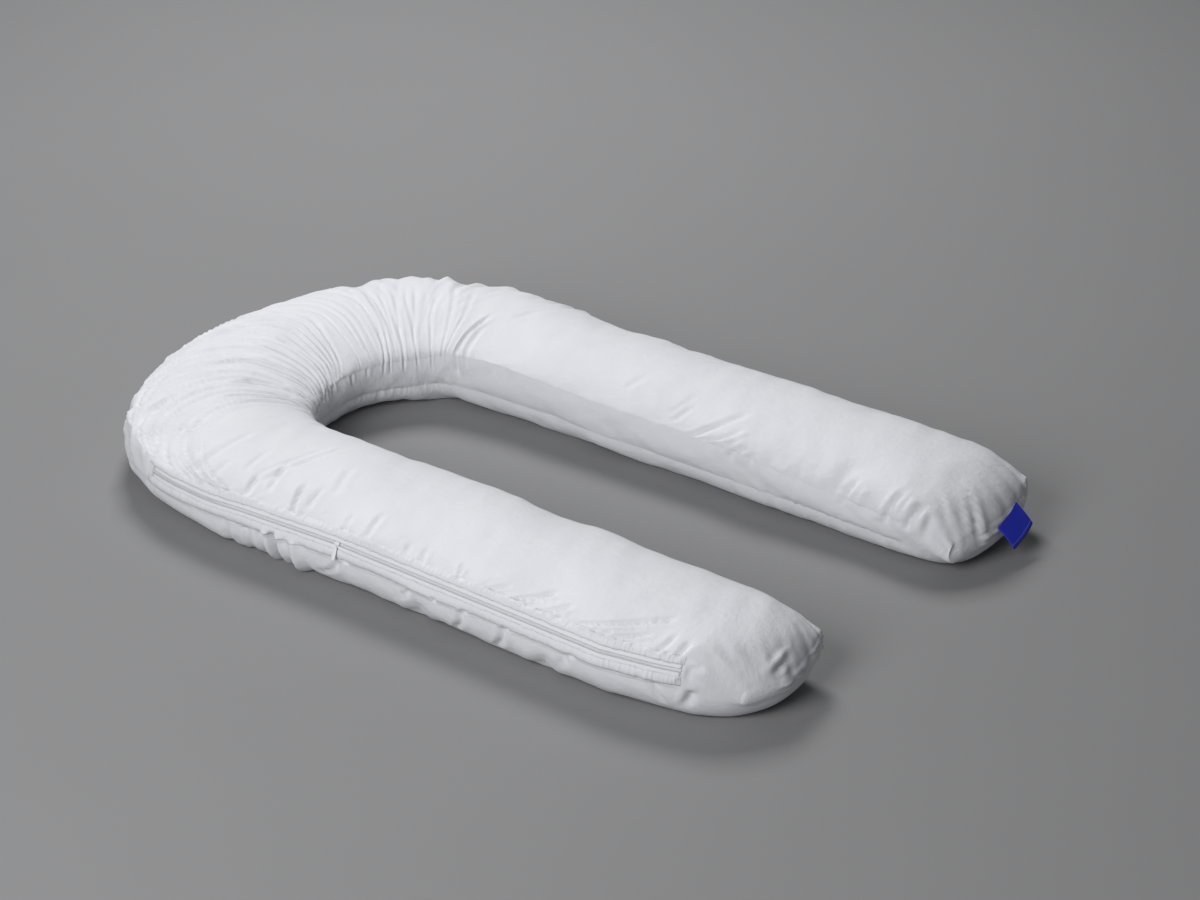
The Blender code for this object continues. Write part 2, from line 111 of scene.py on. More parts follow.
@dataclass
class PillowForm:
    """The plain filled form of the pillow, before any fold.

    Every size is in metres unless it is a share.
    """

    arm_offset: float = 0.315
    arm_end: float = 0.755
    bend_centre: float = -0.300
    bend_reach: float = 0.275
    end_zone: float = 0.160
    end_rounding: float = 0.50
    near_rounding: float = 0.75   # of the near arm's outer corner
    low_seams: Point = (0.955, 0.985)   # inner and outer, as shares of the half width
    inner_top: float = 1.0
    outer_top: Line = ((0.00, 0.965), (0.12, 0.890), (1.00, 0.890),
                                    (1.20, 0.965))  # by place: the zip's strip leans back
    flat_share: float = 0.65
    strip_bulge: float = 0.006
    zip_shares: Point = (0.33, 0.93)    # the zip's edges, as shares of the strip's height
    shoulder_power: float = 0.95
    end_fall: Point = (2.3, 0.65)
    rim_squareness: float = 6.0
    run_points: int = 120     # of the centreline, along each arm
    bend_points: int = 240    # and round the bend
    strip_step: float = 0.05  # share between the strip's points that give its direction
    points: Array = field(init=False)
    normals: Array = field(init=False)
    places: Array = field(init=False)
    sections: dict[str, Array] = field(init=False)

    def __post_init__(self) -> None:
        """Trace the centreline once and read the sections by name."""
        run = np.linspace(self.arm_end, self.bend_centre, self.run_points, endpoint=False)
        angle = np.linspace(-math.pi / 2, -3 * math.pi / 2, self.bend_points)
        near = np.column_stack((run, np.full_like(run, -self.arm_offset)))
        bend = np.column_stack((
            self.bend_centre + self.bend_reach * np.cos(angle),
            self.arm_offset * np.sin(angle)))
        self.points = np.vstack((near, bend, (near * (1, -1))[::-1]))
        steps = np.linalg.norm(np.diff(self.points, axis=0), axis=1)
        self.places = np.concatenate(([0.0], np.cumsum(steps)))
        tangents = np.gradient(self.points, self.places, axis=0)
        tangents /= np.linalg.norm(tangents, axis=1)[:, None]
        self.normals = np.column_stack((-tangents[:, 1], tangents[:, 0]))
        table = np.array(SECTIONS)
        self.sections = {name: table[:, i] for i, name in enumerate(SECTION_COLUMNS)}

    @property
    def total(self) -> float:
        """Length of the centreline."""
        return float(self.places[-1])

    def size(self, place: Array, name: str) -> Array:
        """Read a named size of the section at each place."""
        return np.interp(place, self.sections["place"], self.sections[name])

    def closing(self, place: Array) -> Array:
        """Return how far each place is into an arm's end, from 0 to 1 at the very end."""
        from_end = np.minimum(place, self.total - place)
        return np.clip(1.0 - from_end / self.end_zone, 0.0, 1.0)

    def plan(self, place: Array, across: Array) -> tuple[Array, Array]:
        """Place points of a section in plan.

        Args:
            place: the place of each point.
            across: a share of the half width, positive towards the outside of the U.

        Returns:
            The points' X and Y.
        """
        closing = self.closing(place)
        from_end = np.minimum(place, self.total - place)
        near_outer = (place < self.total / 2) & (across > 0.0)
        rounding = np.where(near_outer, self.near_rounding, self.end_rounding)
        bowed = 1.0 - closing * np.sqrt(1.0 - rounding * across**2 / 2)
        from_end = np.where(from_end < self.end_zone, self.end_zone * bowed, from_end)
        bowed_place = np.where(place < self.total / 2, from_end, self.total - from_end)
        squeeze = np.sqrt(1.0 - rounding * closing**2 / 2)
        reach = across * squeeze * self.size(place, "half_width")
        reach = reach + self.size(place, "outward")
        x, y = (np.interp(bowed_place, self.places, self.points[:, i]) for i in (0, 1))
        nx, ny = (np.interp(bowed_place, self.places, self.normals[:, i]) for i in (0, 1))
        return x + nx * reach, y + ny * reach

    def reach(self, place: Array, across: Array, which: str) -> Array:
        """How far out the upper ("top") or lower ("low") seam lies, as a share.

        Args:
            place: the points' places.
            across: shares of the half width, positive outwards.
            which: "top" or "low".

        Returns:
            The seam's share of the half width.
        """
        inner, outer = self.low_seams
        if which == "top":
            inner, outer = self.inner_top, np.interp(place, *zip(*self.outer_top))
        return np.where(across > 0.0, outer, inner)

    def seam(self, place: Array, across: Array, which: str) -> Array:
        """Height of the upper ("top") or lower ("low") seam, inner side to outer.

        Args:
            place: the points' places.
            across: shares of the half width, positive outwards.
            which: "top" or "low".

        Returns:
            Their heights.
        """
        inner = self.size(place, "inner_" + which)
        outer = self.size(place, "outer_" + which)
        return inner + (outer - inner) * (1.0 + across) / 2.0

    def top(self, place: Array, turn: Array) -> Array:
        """Points of the top panel.

        Args:
            place: the points' places.
            turn: their turns.

        Returns:
            The points.
        """
        angle = turn * math.pi / 2
        across = np.sign(turn) * np.abs(np.sin(angle)) ** self.shoulder_power
        x, y = self.plan(place, across * self.reach(place, turn, "top"))
        seam = self.seam(place, turn, "top")
        late, steep = self.end_fall
        fullness = np.cos(angle) * (1.0 - self.closing(place) ** late) ** steep
        return np.stack((x, y, seam + (self.size(place, "crown") - seam) * fullness), -1)

    def strip(self, place: Array, side: int, share: Array) -> Array:
        """Points of the side strip; share runs from its lower seam (0) to its upper (1).

        Args:
            place: the points' places.
            side: 1 for the outer strip, -1 for the inner.
            share: how far up each is.

        Returns:
            The points.
        """
        swell = self.strip_bulge * self.bulge(side, share)
        swell = swell / self.size(place, "half_width")
        low = self.reach(place, np.array(side), "low")
        top = self.reach(place, np.array(side), "top")
        across = low + (top - low) * share + swell
        x, y = self.plan(place, side * across)
        sides = np.full_like(place, float(side))
        low = self.seam(place, sides, "low")
        high = self.seam(place, sides, "top")
        return np.stack((x, y, low + (high - low) * share), -1)

    def bulge(self, side: int, share: Array) -> Array:
        """How far the strip swells, from 0 at its seams to 1; it is flat behind the zip.

        Args:
            side: 1 for the outer strip, -1 for the inner.
            share: how far up the strip.

        Returns:
            The share of the whole bulge.
        """
        share = np.asarray(share, dtype=float)
        curve = 4.0 * share * (1.0 - share)
        if side < 0:
            return curve
        ends = np.array(self.zip_shares)
        chord = np.interp(share, ends, 4.0 * ends * (1.0 - ends))
        return np.where((share > ends[0]) & (share < ends[1]), chord, curve)

    def under(self, place: Array, across: Array) -> Array:
        """Points of the bottom panel, flat in the middle and curling up to its seam.

        Args:
            place: the points' places.
            across: shares of the half width, positive outwards.

        Returns:
            The points.
        """
        x, y = self.plan(place, across * self.reach(place, across, "low"))
        power = self.rim_squareness
        rim = (np.abs(across) ** power + self.closing(place) ** power) ** (1.0 / power)
        rise = np.clip((rim - self.flat_share) / (1.0 - self.flat_share), 0.0, 1.0)
        low = self.seam(place, across, "low")
        return np.stack((x, y, low * (1.0 - np.sqrt(1.0 - rise**2))), -1)

    def outer_strip(self, place: Array, share: float) -> tuple[Array, Array, Array]:
        """Return points along the outer strip with their upward and outward directions.

        Args:
            place: the points' places.
            share: how far up the strip they lie.

        Returns:
            The points and the two directions at each.
        """
        shares = np.full_like(place, share)
        point = self.strip(place, 1, shares)
        above = self.strip(place, 1, shares + self.strip_step)
        up = above - self.strip(place, 1, shares - self.strip_step)
        up /= np.linalg.norm(up, axis=1)[:, None]
        out = np.cross(np.gradient(point, axis=0), up)
        out /= np.linalg.norm(out, axis=1)[:, None]
        return point, up, out


@dataclass(frozen=True)
class CreaseLine:
    """How a crisp fold looks across itself: a sharp line between two lips."""

    power: float      # under 2 makes the line sharper
    fall: float
    lip: float        # how far the lips stand the other way, as a share
    lip_at: float
    lip_width: float

    def at(self, offset: Array) -> Array:
        """Return the height at each offset from the middle, both as shares."""
        line = np.exp(-offset**self.power * self.fall)
        return line - self.lip * np.exp(-((offset - self.lip_at) / self.lip_width) ** 2)


FOLD_LINE = CreaseLine(power=1.25, fall=1.4, lip=0.32, lip_at=1.55, lip_width=0.75)
PLEAT_LINE = CreaseLine(power=1.3, fall=1.3, lip=0.35, lip_at=1.7, lip_width=0.8)


class Profile(Enum):
    """How a fold looks across itself."""

    SOFT = "soft"    # a rounded ridge or hollow
    CRISP = "crisp"  # a ridge or crease with a sharp line along its middle


@dataclass(frozen=True)
class Fold:
    """One fold of the cover, drawn as a line of (place, turn) points.

    A crease has a negative height. pinch is the width at the end of the lowest turn, as a
    share of the width at the other end.
    """

    path: Line
    width: float
    height: float
    profile: Profile = Profile.CRISP
    fade: float = 0.16
    pinch: float = 1.0

    def relief(self, place: Array, turn: Array) -> Array:
        """Return the fold's height at each point.

        Args:
            place: the points' places.
            turn: their turns.

        Returns:
            Their heights.
        """
        path = sorted(self.path, key=lambda point: point[1])
        turns = [point[1] for point in path]
        centre = np.interp(turn, turns, [point[0] for point in path])
        width = np.interp(turn, (turns[0], turns[-1]), (self.width * self.pinch, self.width))
        fade = come_and_go(turn, turns[0], turns[-1], self.fade, lead=0.5)
        offset = np.abs(place - centre) / width
        if self.profile is Profile.SOFT:
            shape = np.exp(-offset**2)
        else:
            shape = FOLD_LINE.at(offset)
        return self.height * fade * shape * width / self.width


@dataclass(frozen=True)
class Gathers:
    """Rounded ridges with sharp valleys between them, side by side across the pillow.

    first and last are the stretch's two end valleys, as (place, turn) points that share
    their turns, lowest turn first.
    """

    first: Line
    last: Line
    count: int
    height: float
    seed: int
    roundness: float = 0.62
    full_pitch: float = 0.016   # a narrower ridge is a lower one
    ease: float = 2.0           # ridges over which the stretch comes and goes
    fade: float = 0.22
    rim: float = 1.0            # share of the height that is left at the outer seam
    rim_turns: Point = (0.2, 1.0)  # where the height starts to fall to that share, and ends
    wander: tuple[Triple, ...] = (
        (0.34, 0.9, 1.6), (0.20, 2.1, 4.0), (0.05, 5.0, 9.0))  # each depth, rate and drift
    strengths: Point = (0.35, 1.3)
    beat: Point = (0.72, 0.28)  # steady and wavering shares of a ridge's height
    beat_rate: float = 3.1      # of the wavering, over the turns
    tallest: float = 1.3        # share of the height that the widest ridge reaches
    middle: float = 0.6         # a ridge's mean height, taken off

    def relief(self, place: Array, turn: Array) -> Array:
        """Return the gathers' height at each point.

        Args:
            place: the points' places.
            turn: their turns.

        Returns:
            Their heights.
        """
        dice = np.random.default_rng(self.seed)
        turns = [point[1] for point in self.first]
        start = np.interp(turn, turns, [point[0] for point in self.first])
        stop = np.interp(turn, turns, [point[0] for point in self.last])
        phase = (place - start) / (stop - start) * self.count
        for depth, rate, drift in self.wander:
            phase = phase + depth * np.sin(rate * phase + drift * turn + dice.uniform(0, 6))
        inside = np.clip(phase, 0.0, self.count - 1e-6)
        number = inside.astype(int)
        ridge = np.sin(math.pi * (inside - number)) ** self.roundness
        strength = dice.uniform(*self.strengths, self.count)[number]
        beat = dice.uniform(0.0, 2 * math.pi, self.count)[number]
        steady, waver = self.beat
        strength = strength * (steady + waver * np.sin(turn * self.beat_rate + beat))
        pitch = (stop - start) / self.count
        reach = smooth_step(inside / self.ease) * smooth_step(
            (self.count - inside) / self.ease)
        reach = reach * smooth_step((turn - turns[0]) / self.fade + 0.5)
        reach = reach * smooth_step((turns[-1] - turn) / self.fade + 0.5)
        reach = reach * np.clip(pitch / self.full_pitch, 0.0, self.tallest)
        reach = reach * np.interp(turn, self.rim_turns, (1.0, self.rim))
        return self.height * reach * (ridge * strength - self.middle)


@dataclass(frozen=True)
class FoldFan:
    """A fan of fine creases that spread across the bend.

    first and last are the paths of its two outermost folds; the rest lie between.
    """

    first: Line
    last: Line
    count: int
    width: float
    height: float
    seed: int
    pinch: float = 0.6
    jitter: float = 0.30      # of a fold's place, in spaces between folds
    shift: float = 0.004      # of each point of a fold
    shortening: float = 0.30  # the most that a fold stops short at an end, in turns
    stations: int = 7         # points along a fold
    strengths: Point = (0.35, 1.3)
    widths: Point = (0.8, 1.3)
    fade: float = 0.3

    def folds(self) -> list[Fold]:
        """Return the fan's folds, unevenly spaced and of uneven strength.

        Returns:
            The folds, from first to last.
        """
        dice = np.random.default_rng(self.seed)
        made = []
        for index in range(self.count):
            share = index + dice.uniform(-self.jitter, self.jitter)
            share /= max(self.count - 1, 1)
            path = []
            for (start, turn), (stop, _) in zip(self.first, self.last):
                shift = dice.uniform(-self.shift, self.shift)
                path.append((start + (stop - start) * share + shift, turn))
            low = path[0][1] + dice.uniform(0.0, self.shortening)
            high = path[-1][1] - dice.uniform(0.0, self.shortening)
            turns = np.linspace(low, high, self.stations)
            places = np.interp(turns, [p[1] for p in path], [p[0] for p in path])
            strength = dice.uniform(*self.strengths)
            made.append(Fold(
                tuple((float(p), float(t)) for p, t in zip(places, turns)),
                self.width * dice.uniform(*self.widths), -self.height * strength,
                fade=self.fade, pinch=self.pinch))
        return made


@dataclass(frozen=True)
class PuckerRow:
    """Short puckers that stand off a seam where the cloth is eased into it.

    above and below are how far they run from the seam, in turns, towards the top panel's
    middle and down the side. peak is 2 for round puckers and less for pointed ones.
    """

    start: float
    stop: float
    seam_turn: float
    above: float
    below: float
    pitch: float
    height: float
    seed: int
    peak: float = 2.0
    widths: Point = (0.16, 0.34)      # shares of the pitch
    reaches: Point = (0.45, 1.25)
    lean: float = 0.7
    strengths: Point = (0.15, 1.25)
    signs: Triple = (1.0, 1.0, -0.8)  # one in three is sunk
    opening: Point = (0.7, 0.6)       # share of the width at the seam, and how it grows
    limits: Point = (2.4, 4.0)        # reaches and widths past which it is left out
    dying: float = 1.6
    spaces: Point = (0.45, 1.7)       # from one pucker to the next, in pitches

    def relief(self, place: Array, turn: Array) -> Array:
        """Return the puckers' height at each point.

        Args:
            place: the points' places.
            turn: their turns.

        Returns:
            Their heights.
        """
        dice = np.random.default_rng(self.seed)
        side = math.copysign(1.0, self.seam_turn)
        off = (turn - self.seam_turn) * side
        height = np.zeros_like(place)
        longest = max(self.above, self.below)
        narrow, growth = self.opening
        at = self.start
        while at < self.stop:
            width = self.pitch * dice.uniform(*self.widths)
            reach = dice.uniform(*self.reaches)
            near = np.where(off < 0.0, -off / self.above, off / self.below) / reach
            lean = dice.uniform(-self.lean, self.lean) * self.pitch / longest
            strength = self.height * dice.uniform(*self.strengths) * dice.choice(self.signs)
            offset = np.abs(place - at - lean * off) / (width * (narrow + growth * near))
            close = (turn * side > 0.0) & (near < self.limits[0]) & (offset < self.limits[1])
            height[close] += strength * (
                np.exp(-offset[close]**self.peak) * np.exp(-near[close]**self.dying))
            at += self.pitch * dice.uniform(*self.spaces)
        return height


@dataclass(frozen=True)
class EndPleat:
    """A pleat that runs from an arm's end seam up on to its top panel.

    It leaves the seam at one turn and dies away at another, reach metres along the arm.
    width is in turns at the seam. A crease has a negative height.
    """

    from_turn: float
    to_turn: float
    reach: float
    width: float
    height: float
    taper: float = 0.55   # share of the width that is lost where the pleat dies
    dying: float = 0.8

    def relief(self, from_end: Array, turn: Array) -> Array:
        """Return the pleat's height at each point of one arm.

        Args:
            from_end: each point's distance from the arm's end.
            turn: their turns.

        Returns:
            Their heights.
        """
        share = np.clip(from_end / self.reach, 0.0, 1.0)
        centre = self.from_turn + (self.to_turn - self.from_turn) * share
        offset = np.abs(turn - centre) / (self.width * (1.0 - self.taper * share))
        shape = PLEAT_LINE.at(offset)
        live = (from_end < self.reach) & (np.abs(turn) <= 1.0)
        return np.where(live, self.height * (1.0 - share) ** self.dying * shape, 0.0)


@dataclass(frozen=True)
class SoftNoise:
    """Smooth unevenness made from a few seeded waves."""

    pitch: Point
    height: float
    seed: int
    waves: int = 14
    stretches: Point = (0.7, 2.2)

    def relief(self, place: Array, turn: Array) -> Array:
        """Return the unevenness at each point.

        Args:
            place: the points' places.
            turn: their turns.

        Returns:
            Their heights.
        """
        dice = np.random.default_rng(self.seed)
        height = np.zeros_like(place)
        for _ in range(self.waves):
            along = 2 * math.pi / (self.pitch[0] * dice.uniform(*self.stretches))
            around = 2 * math.pi / (self.pitch[1] * dice.uniform(*self.stretches))
            around = around * dice.choice((-1.0, 1.0))
            phase = dice.uniform(0.0, 2 * math.pi)
            height += np.sin(place * along + turn * around + phase)
        return height * self.height / math.sqrt(self.waves)


MM, TENTHS = 1000, 10000  # millimetres, and tenths of one, in a metre
HUNDREDTHS, THOUSANDTHS = 100, 1000  # of a turn

# The long and short folds, region by region, each as its path, width and height. Places
# and widths are in millimetres, turns in hundredths and heights in tenths of a millimetre.
NEAR_ARM_FOLDS = (
    (((16, -4), (12, 20), (5, 40)), 6, 18),
    (((8, 6), (4, 28)), 5, -40),
    (((116, 60), (120, 98)), 9, -32),
    (((146, 55), (152, 80), (158, 98)), 9, -26),
    (((170, 35), (235, 60), (300, 86)), 10, -50),
    (((185, 62), (215, 78), (240, 94)), 8, -32),
    (((330, 62), (362, 84)), 9, -40),
    (((370, 52), (420, 84)), 9, -36),
    (((450, 70), (480, 90)), 8, -26),
    (((548, 66), (544, 80), (538, 97)), 7, -46),
    (((532, 76), (534, 97)), 6, -26),
    (((430, 90), (400, 76), (360, 62)), 8, -34),
    (((385, 94), (350, 82), (310, 72)), 8, -36),
    (((290, 94), (255, 84), (205, 80)), 7, -42),
    (((628, 62), (620, 92)), 9, -26),
    (((660, 66), (655, 88)), 8, -30),
    (((740, 46), (738, 84)), 9, -34),
    (((790, 60), (785, 90)), 8, -30),
    (((850, 36), (866, 8)), 11, -30),
    (((880, 38), (876, 66)), 9, -42),
    (((912, 44), (903, 68), (898, 92)), 9, -78),
    (((930, -14), (958, 18), (988, 52)), 8, -34),
    (((950, -10), (978, 20), (1005, 46)), 7, -28),
    (((976, 24), (964, 62)), 9, -38),
    (((1002, 52), (998, 84)), 9, -46),
    (((1030, 18), (1032, 48)), 9, -22),
    (((1068, 46), (1072, 76)), 8, -26),
    (((1090, 8), (1096, 45), (1102, 80)), 9, -30),
)
SOFT_HOLLOWS = (
    (((660, -32), (664, -4)), 18, -20),
    (((545, 10), (530, 60)), 22, -24),
    (((800, -10), (780, 50)), 24, -26),
    (((2430, -50), (2430, -15)), 20, -20),
    (((2720, 20), (2760, 70)), 22, -24),
    (((2800, -92), (2806, -45)), 20, -60),
)
END_BULGE_FOLDS = (
    (((62, 90), (64, 112), (60, 140)), 26, 50),
)
END_WRINKLES = (
    (((92, 150), (88, 115), (74, 92)), 5, -46),
    (((80, 142), (78, 115), (66, 94)), 4, -26),
    (((70, 136), (69, 114), (58, 95)), 4, -24),
    (((60, 134), (59, 112), (50, 95)), 4, -26),
    (((48, 140), (48, 112), (40, 94)), 5, -36),
)
# Pointed puckers that show as scallops along the outline: place and height.
SCALLOPS = (
    (1.214, 0.0090), (1.262, 0.0100), (1.310, 0.0060),
    (1.760, 0.0040), (1.800, 0.0045), (1.845, 0.0090), (1.885, 0.0060), (1.925, 0.0075),
    (1.960, 0.0055), (1.995, 0.0080), (2.030, 0.0060), (2.065, 0.0065),
)
LOWER_PANEL_FOLDS = (
    (((668, 206), (605, 194), (545, 184)), 7, -44),
    (((502, 187), (430, 188), (360, 185)), 7, -44),
    (((242, 181), (180, 180), (116, 182)), 6, -30),
    (((515, 184), (530, 204), (548, 224)), 9, -46),
    (((432, 187), (446, 206), (464, 226)), 10, -52),
    (((760, 184), (800, 204), (840, 220)), 10, -40),
    (((300, 188), (330, 210)), 12, -24),
    (((160, 192), (140, 216)), 13, -30),
    (((100, 210), (70, 192), (40, 170)), 12, -45),
    (((930, 174), (928, 285)), 11, -120),
    (((958, 190), (955, 275)), 10, -50),
    (((885, 180), (880, 275)), 14, 50),
    (((990, 195), (996, 260)), 10, -26),
    (((1040, 185), (1040, 260)), 12, -22),
    (((620, 205), (640, 250)), 24, -30),
    (((360, 205), (380, 250)), 26, -30),
)
BACK_FOLDS = (
    (((1664, -122), (1668, -100), (1700, -40)), 7, -46),
    (((1690, -122), (1692, -100), (1712, -45)), 6, -36),
    (((1748, -122), (1750, -100), (1757, -40)), 8, -66),
    (((1812, -122), (1808, -95), (1785, -5)), 8, -34),
    (((1876, -130), (1872, -90), (1842, -30), (1846, -5)), 8, -40),
    (((1926, -110), (1922, -90), (1895, -30), (1870, 12)), 8, -36),
    (((1944, -105), (1930, -30), (1904, 10)), 7, -30),
    (((1992, -155), (1990, -100), (1976, -45), (1984, -22)), 8, -82),
    (((2014, -122), (2010, -100), (1996, -40)), 7, -46),
    (((2070, -122), (2072, -100)), 9, -44),
    (((2096, -122), (2098, -105)), 8, -30),
    (((2060, 16), (2046, 5), (2028, -8)), 10, -56),
    (((1660, -90), (1628, -60), (1582, -28)), 8, -36),
    (((1534, -122), (1540, -105)), 10, -60),
    (((1600, -122), (1604, -100)), 8, -30),
)
FAR_ARM_FOLDS = (
    (((2500, -93), (2526, -70), (2572, -36)), 12, -46),
    (((2522, -98), (2556, -84), (2588, -60)), 11, -44),
    (((2584, -122), (2592, -100), (2608, -82)), 12, -50),
    (((2535, -98), (2566, -80), (2594, -60)), 10, 42),
    (((2628, -122), (2624, -92)), 10, -34),
    (((2452, -76), (2470, -48)), 10, -30),
    (((2334, -52), (2350, -30)), 10, -22),
    (((2440, -66), (2462, -34)), 9, -20),
    (((2812, -122), (2815, -86), (2826, -62)), 10, -52),
    (((2845, -98), (2850, -72)), 9, 34),
    (((2904, -122), (2905, -97), (2916, -60)), 10, -64),
    (((2934, -98), (2944, -62)), 9, 40),
    (((2948, -122), (2952, -95), (2962, -66)), 9, -64),
    (((2988, -122), (2988, -97), (2984, -70)), 9, -50),
)

# Pleats at the two ends: turn at the seam and turn where it dies in hundredths, reach in
# millimetres, width in thousandths of a turn and height in tenths of a millimetre.
NEAR_END_PLEATS = (
    (96, 70, 80, 45, -50),
    (84, 46, 105, 60, 55),
    (72, 36, 100, 50, -50),
    (60, 26, 95, 55, 45),
    (48, 18, 80, 45, -45),
    (34, 4, 70, 45, 36),
    (6, -16, 60, 50, -30),
    (-30, -44, 60, 60, -26),
    (-70, -66, 50, 50, -24),
)
FAR_END_PLEATS = (
    (-97, -74, 60, 40, -95),
    (-84, -46, 95, 50, 60),
    (-72, -36, 80, 40, -75),
    (-60, -28, 85, 50, 45),
    (-49, -22, 65, 40, -50),
    (-33, -12, 56, 32, -70),
    (-24, -4, 70, 50, 40),
    (10, 6, 70, 50, -28),
    (36, 22, 90, 60, -26),
    (62, 44, 90, 55, -28),
    (86, 70, 70, 45, -34),
)


def pleat_rows(rows: tuple) -> list[EndPleat]:
    """Turn a table's rows into pleats."""
    return [EndPleat(start / HUNDREDTHS, stop / HUNDREDTHS, reach / MM, width / THOUSANDTHS,
                     height / TENTHS) for start, stop, reach, width, height in rows]


def fold_rows(rows: tuple, profile: Profile = Profile.CRISP, strength: float = 1.0,
              slim: float = 1.0, fade: float = 0.16) -> list[Fold]:
    """Turn a table's rows into folds, their heights and widths times a share each.

    Args:
        rows: the table's rows.
        profile: how the folds look across.
        strength: share of the heights.
        slim: share of the widths.
        fade: turns over which a fold dies away.

    Returns:
        The folds.
    """
    return [Fold(tuple((place / MM, turn / HUNDREDTHS) for place, turn in path),
                 width / MM * slim, height / TENTHS * strength, profile, fade)
            for path, width, height in rows]


@dataclass
class Drape:
    """Everything that raises or creases the cover above its plain form.

    The broad relief goes on before the cloth settles and the fine relief after it.
    """

    hollows: list[Fold] = field(
        default_factory=lambda: fold_rows(SOFT_HOLLOWS, Profile.SOFT))
    creases: list[Fold] = field(default_factory=lambda: [
        *fold_rows(NEAR_ARM_FOLDS, strength=1.65, slim=0.72, fade=0.10),
        *fold_rows(LOWER_PANEL_FOLDS, strength=1.90, slim=0.80, fade=0.10),
        *fold_rows(END_BULGE_FOLDS, Profile.SOFT), *fold_rows(END_WRINKLES, fade=0.10),
        *fold_rows(BACK_FOLDS, strength=0.8, slim=0.75),
        *fold_rows(FAR_ARM_FOLDS, strength=1.10, slim=0.75, fade=0.10),
        *(Fold(((place, 0.44), (place + 0.004, 1.0), (place, 1.50)), 0.012, 0.60 * height,
               fade=0.24) for place, height in SCALLOPS)])
    gathers: tuple[Gathers, ...] = (
        Gathers(((1.20, -1.10), (1.22, -0.60), (1.20, -0.10), (1.13, 0.40), (1.03, 1.30)),
                ((1.46, -1.10), (1.53, -0.60), (1.56, -0.10), (1.54, 0.40), (1.48, 1.30)),
                34, 0.0058, 61, rim=0.30),
        Gathers(((1.66, -0.20), (1.66, 0.40), (1.62, 1.40)),
                ((1.93, -0.20), (1.98, 0.40), (2.02, 1.40)),
                16, 0.0036, 62, full_pitch=0.022, rim=0.55),
        Gathers(((2.06, 0.20), (2.10, 0.60), (2.12, 1.00)),
                ((2.44, 0.20), (2.50, 0.60), (2.54, 1.00)),
                11, 0.0026, 63, full_pitch=0.034),
    )
    fans: tuple[FoldFan, ...] = (
        FoldFan(((1.18, -1.05), (1.21, -0.60), (1.20, -0.10), (1.12, 0.50)),
                ((1.46, -1.05), (1.54, -0.60), (1.58, -0.10), (1.56, 0.50)),
                22, 0.0058, 0.0076, 11),
        FoldFan(((1.20, 0.00), (1.12, 0.50), (1.03, 0.99)),
                ((1.60, 0.00), (1.57, 0.50), (1.49, 0.99)),
                30, 0.0056, 0.0076, 12, pinch=0.7),
        FoldFan(((1.58, -0.90), (1.61, -0.10), (1.57, 0.50), (1.52, 0.95)),
                ((1.72, -0.90), (1.73, -0.10), (1.70, 0.50), (1.64, 0.95)),
                7, 0.0060, 0.0032, 16),
        FoldFan(((1.725, -0.60), (1.735, -0.10), (1.73, 0.34)),
                ((1.795, -0.60), (1.800, -0.10), (1.80, 0.34)),
                6, 0.0055, 0.0024, 13, pinch=1.0),
        FoldFan(((2.06, 0.10), (2.10, 0.34), (2.13, 0.70)),
                ((2.42, 0.10), (2.46, 0.34), (2.52, 0.70)),
                9, 0.0100, 0.0030, 14, pinch=1.0),
        FoldFan(((1.70, 0.10), (1.69, 0.50), (1.66, 0.98)),
                ((1.92, 0.10), (1.93, 0.50), (1.97, 0.98)),
                11, 0.0085, 0.0044, 15, pinch=0.8),
    )
    puckers: tuple[PuckerRow, ...] = (
        PuckerRow(0.11, 1.18, 1.0, 0.22, 0.04, 0.015, 0.0022, 21),
        PuckerRow(0.11, 1.16, 0.975, 0.12, 0.03, 0.0125, 0.0016, 37),
        PuckerRow(0.11, 1.16, 1.79, 0.06, 0.12, 0.0115, 0.0012, 38),
        PuckerRow(0.17, 0.33, 1.0, 0.26, 0.04, 0.015, 0.0020, 23),
        PuckerRow(0.84, 1.10, 2.0, 0.10, 0.20, 0.024, 0.0012, 24),
        PuckerRow(1.34, 1.76, 1.0, 0.20, 0.50, 0.021, 0.0020, 27),
        PuckerRow(2.24, 2.95, 1.0, 0.34, 0.30, 0.032, 0.0022, 28),
        PuckerRow(1.06, 1.46, -1.0, 0.40, 0.30, 0.017, 0.0026, 29),
        PuckerRow(1.46, 2.50, -1.0, 0.20, 0.14, 0.034, 0.0012, 30),
        PuckerRow(2.52, 3.00, -1.0, 0.30, 0.20, 0.022, 0.0028, 31),
        PuckerRow(2.55, 3.00, -2.0, 0.18, 0.26, 0.018, 0.0026, 32),
        PuckerRow(1.20, 2.55, -2.0, 0.10, 0.14, 0.030, 0.0010, 33),
        PuckerRow(1.18, 2.96, 2.0, 0.20, 0.24, 0.034, 0.0018, 34),
        PuckerRow(0.04, 0.90, -1.0, 0.24, 0.16, 0.034, 0.0014, 35),
    )
    near_pleats: list[EndPleat] = field(default_factory=lambda: pleat_rows(NEAR_END_PLEATS))
    far_pleats: list[EndPleat] = field(default_factory=lambda: pleat_rows(FAR_END_PLEATS))
    broad_noise: SoftNoise = SoftNoise((0.16, 1.3), 0.0018, 41)
    fine_noise: SoftNoise = SoftNoise((0.055, 0.55), 0.00045, 42)
    seam_sink: float = 0.0005
    seam_width: float = 0.030
    zip_clear: Point = (0.090, 1.180)
    zip_ease: float = 0.015
    zip_edges: Line = ((1.01, 0.05), (1.74, 0.07))  # of its bed: turn and ease
    zip_roll: float = 0.0008  # how far the cloth rolls out below the tape's edge
    roll_at: Point = (1.80, 0.08)  # its turn and width
    roll_ease: float = 0.02
    rest_at: Point = (3.0, 0.35)   # turn where the cover rests, and the ease up to it

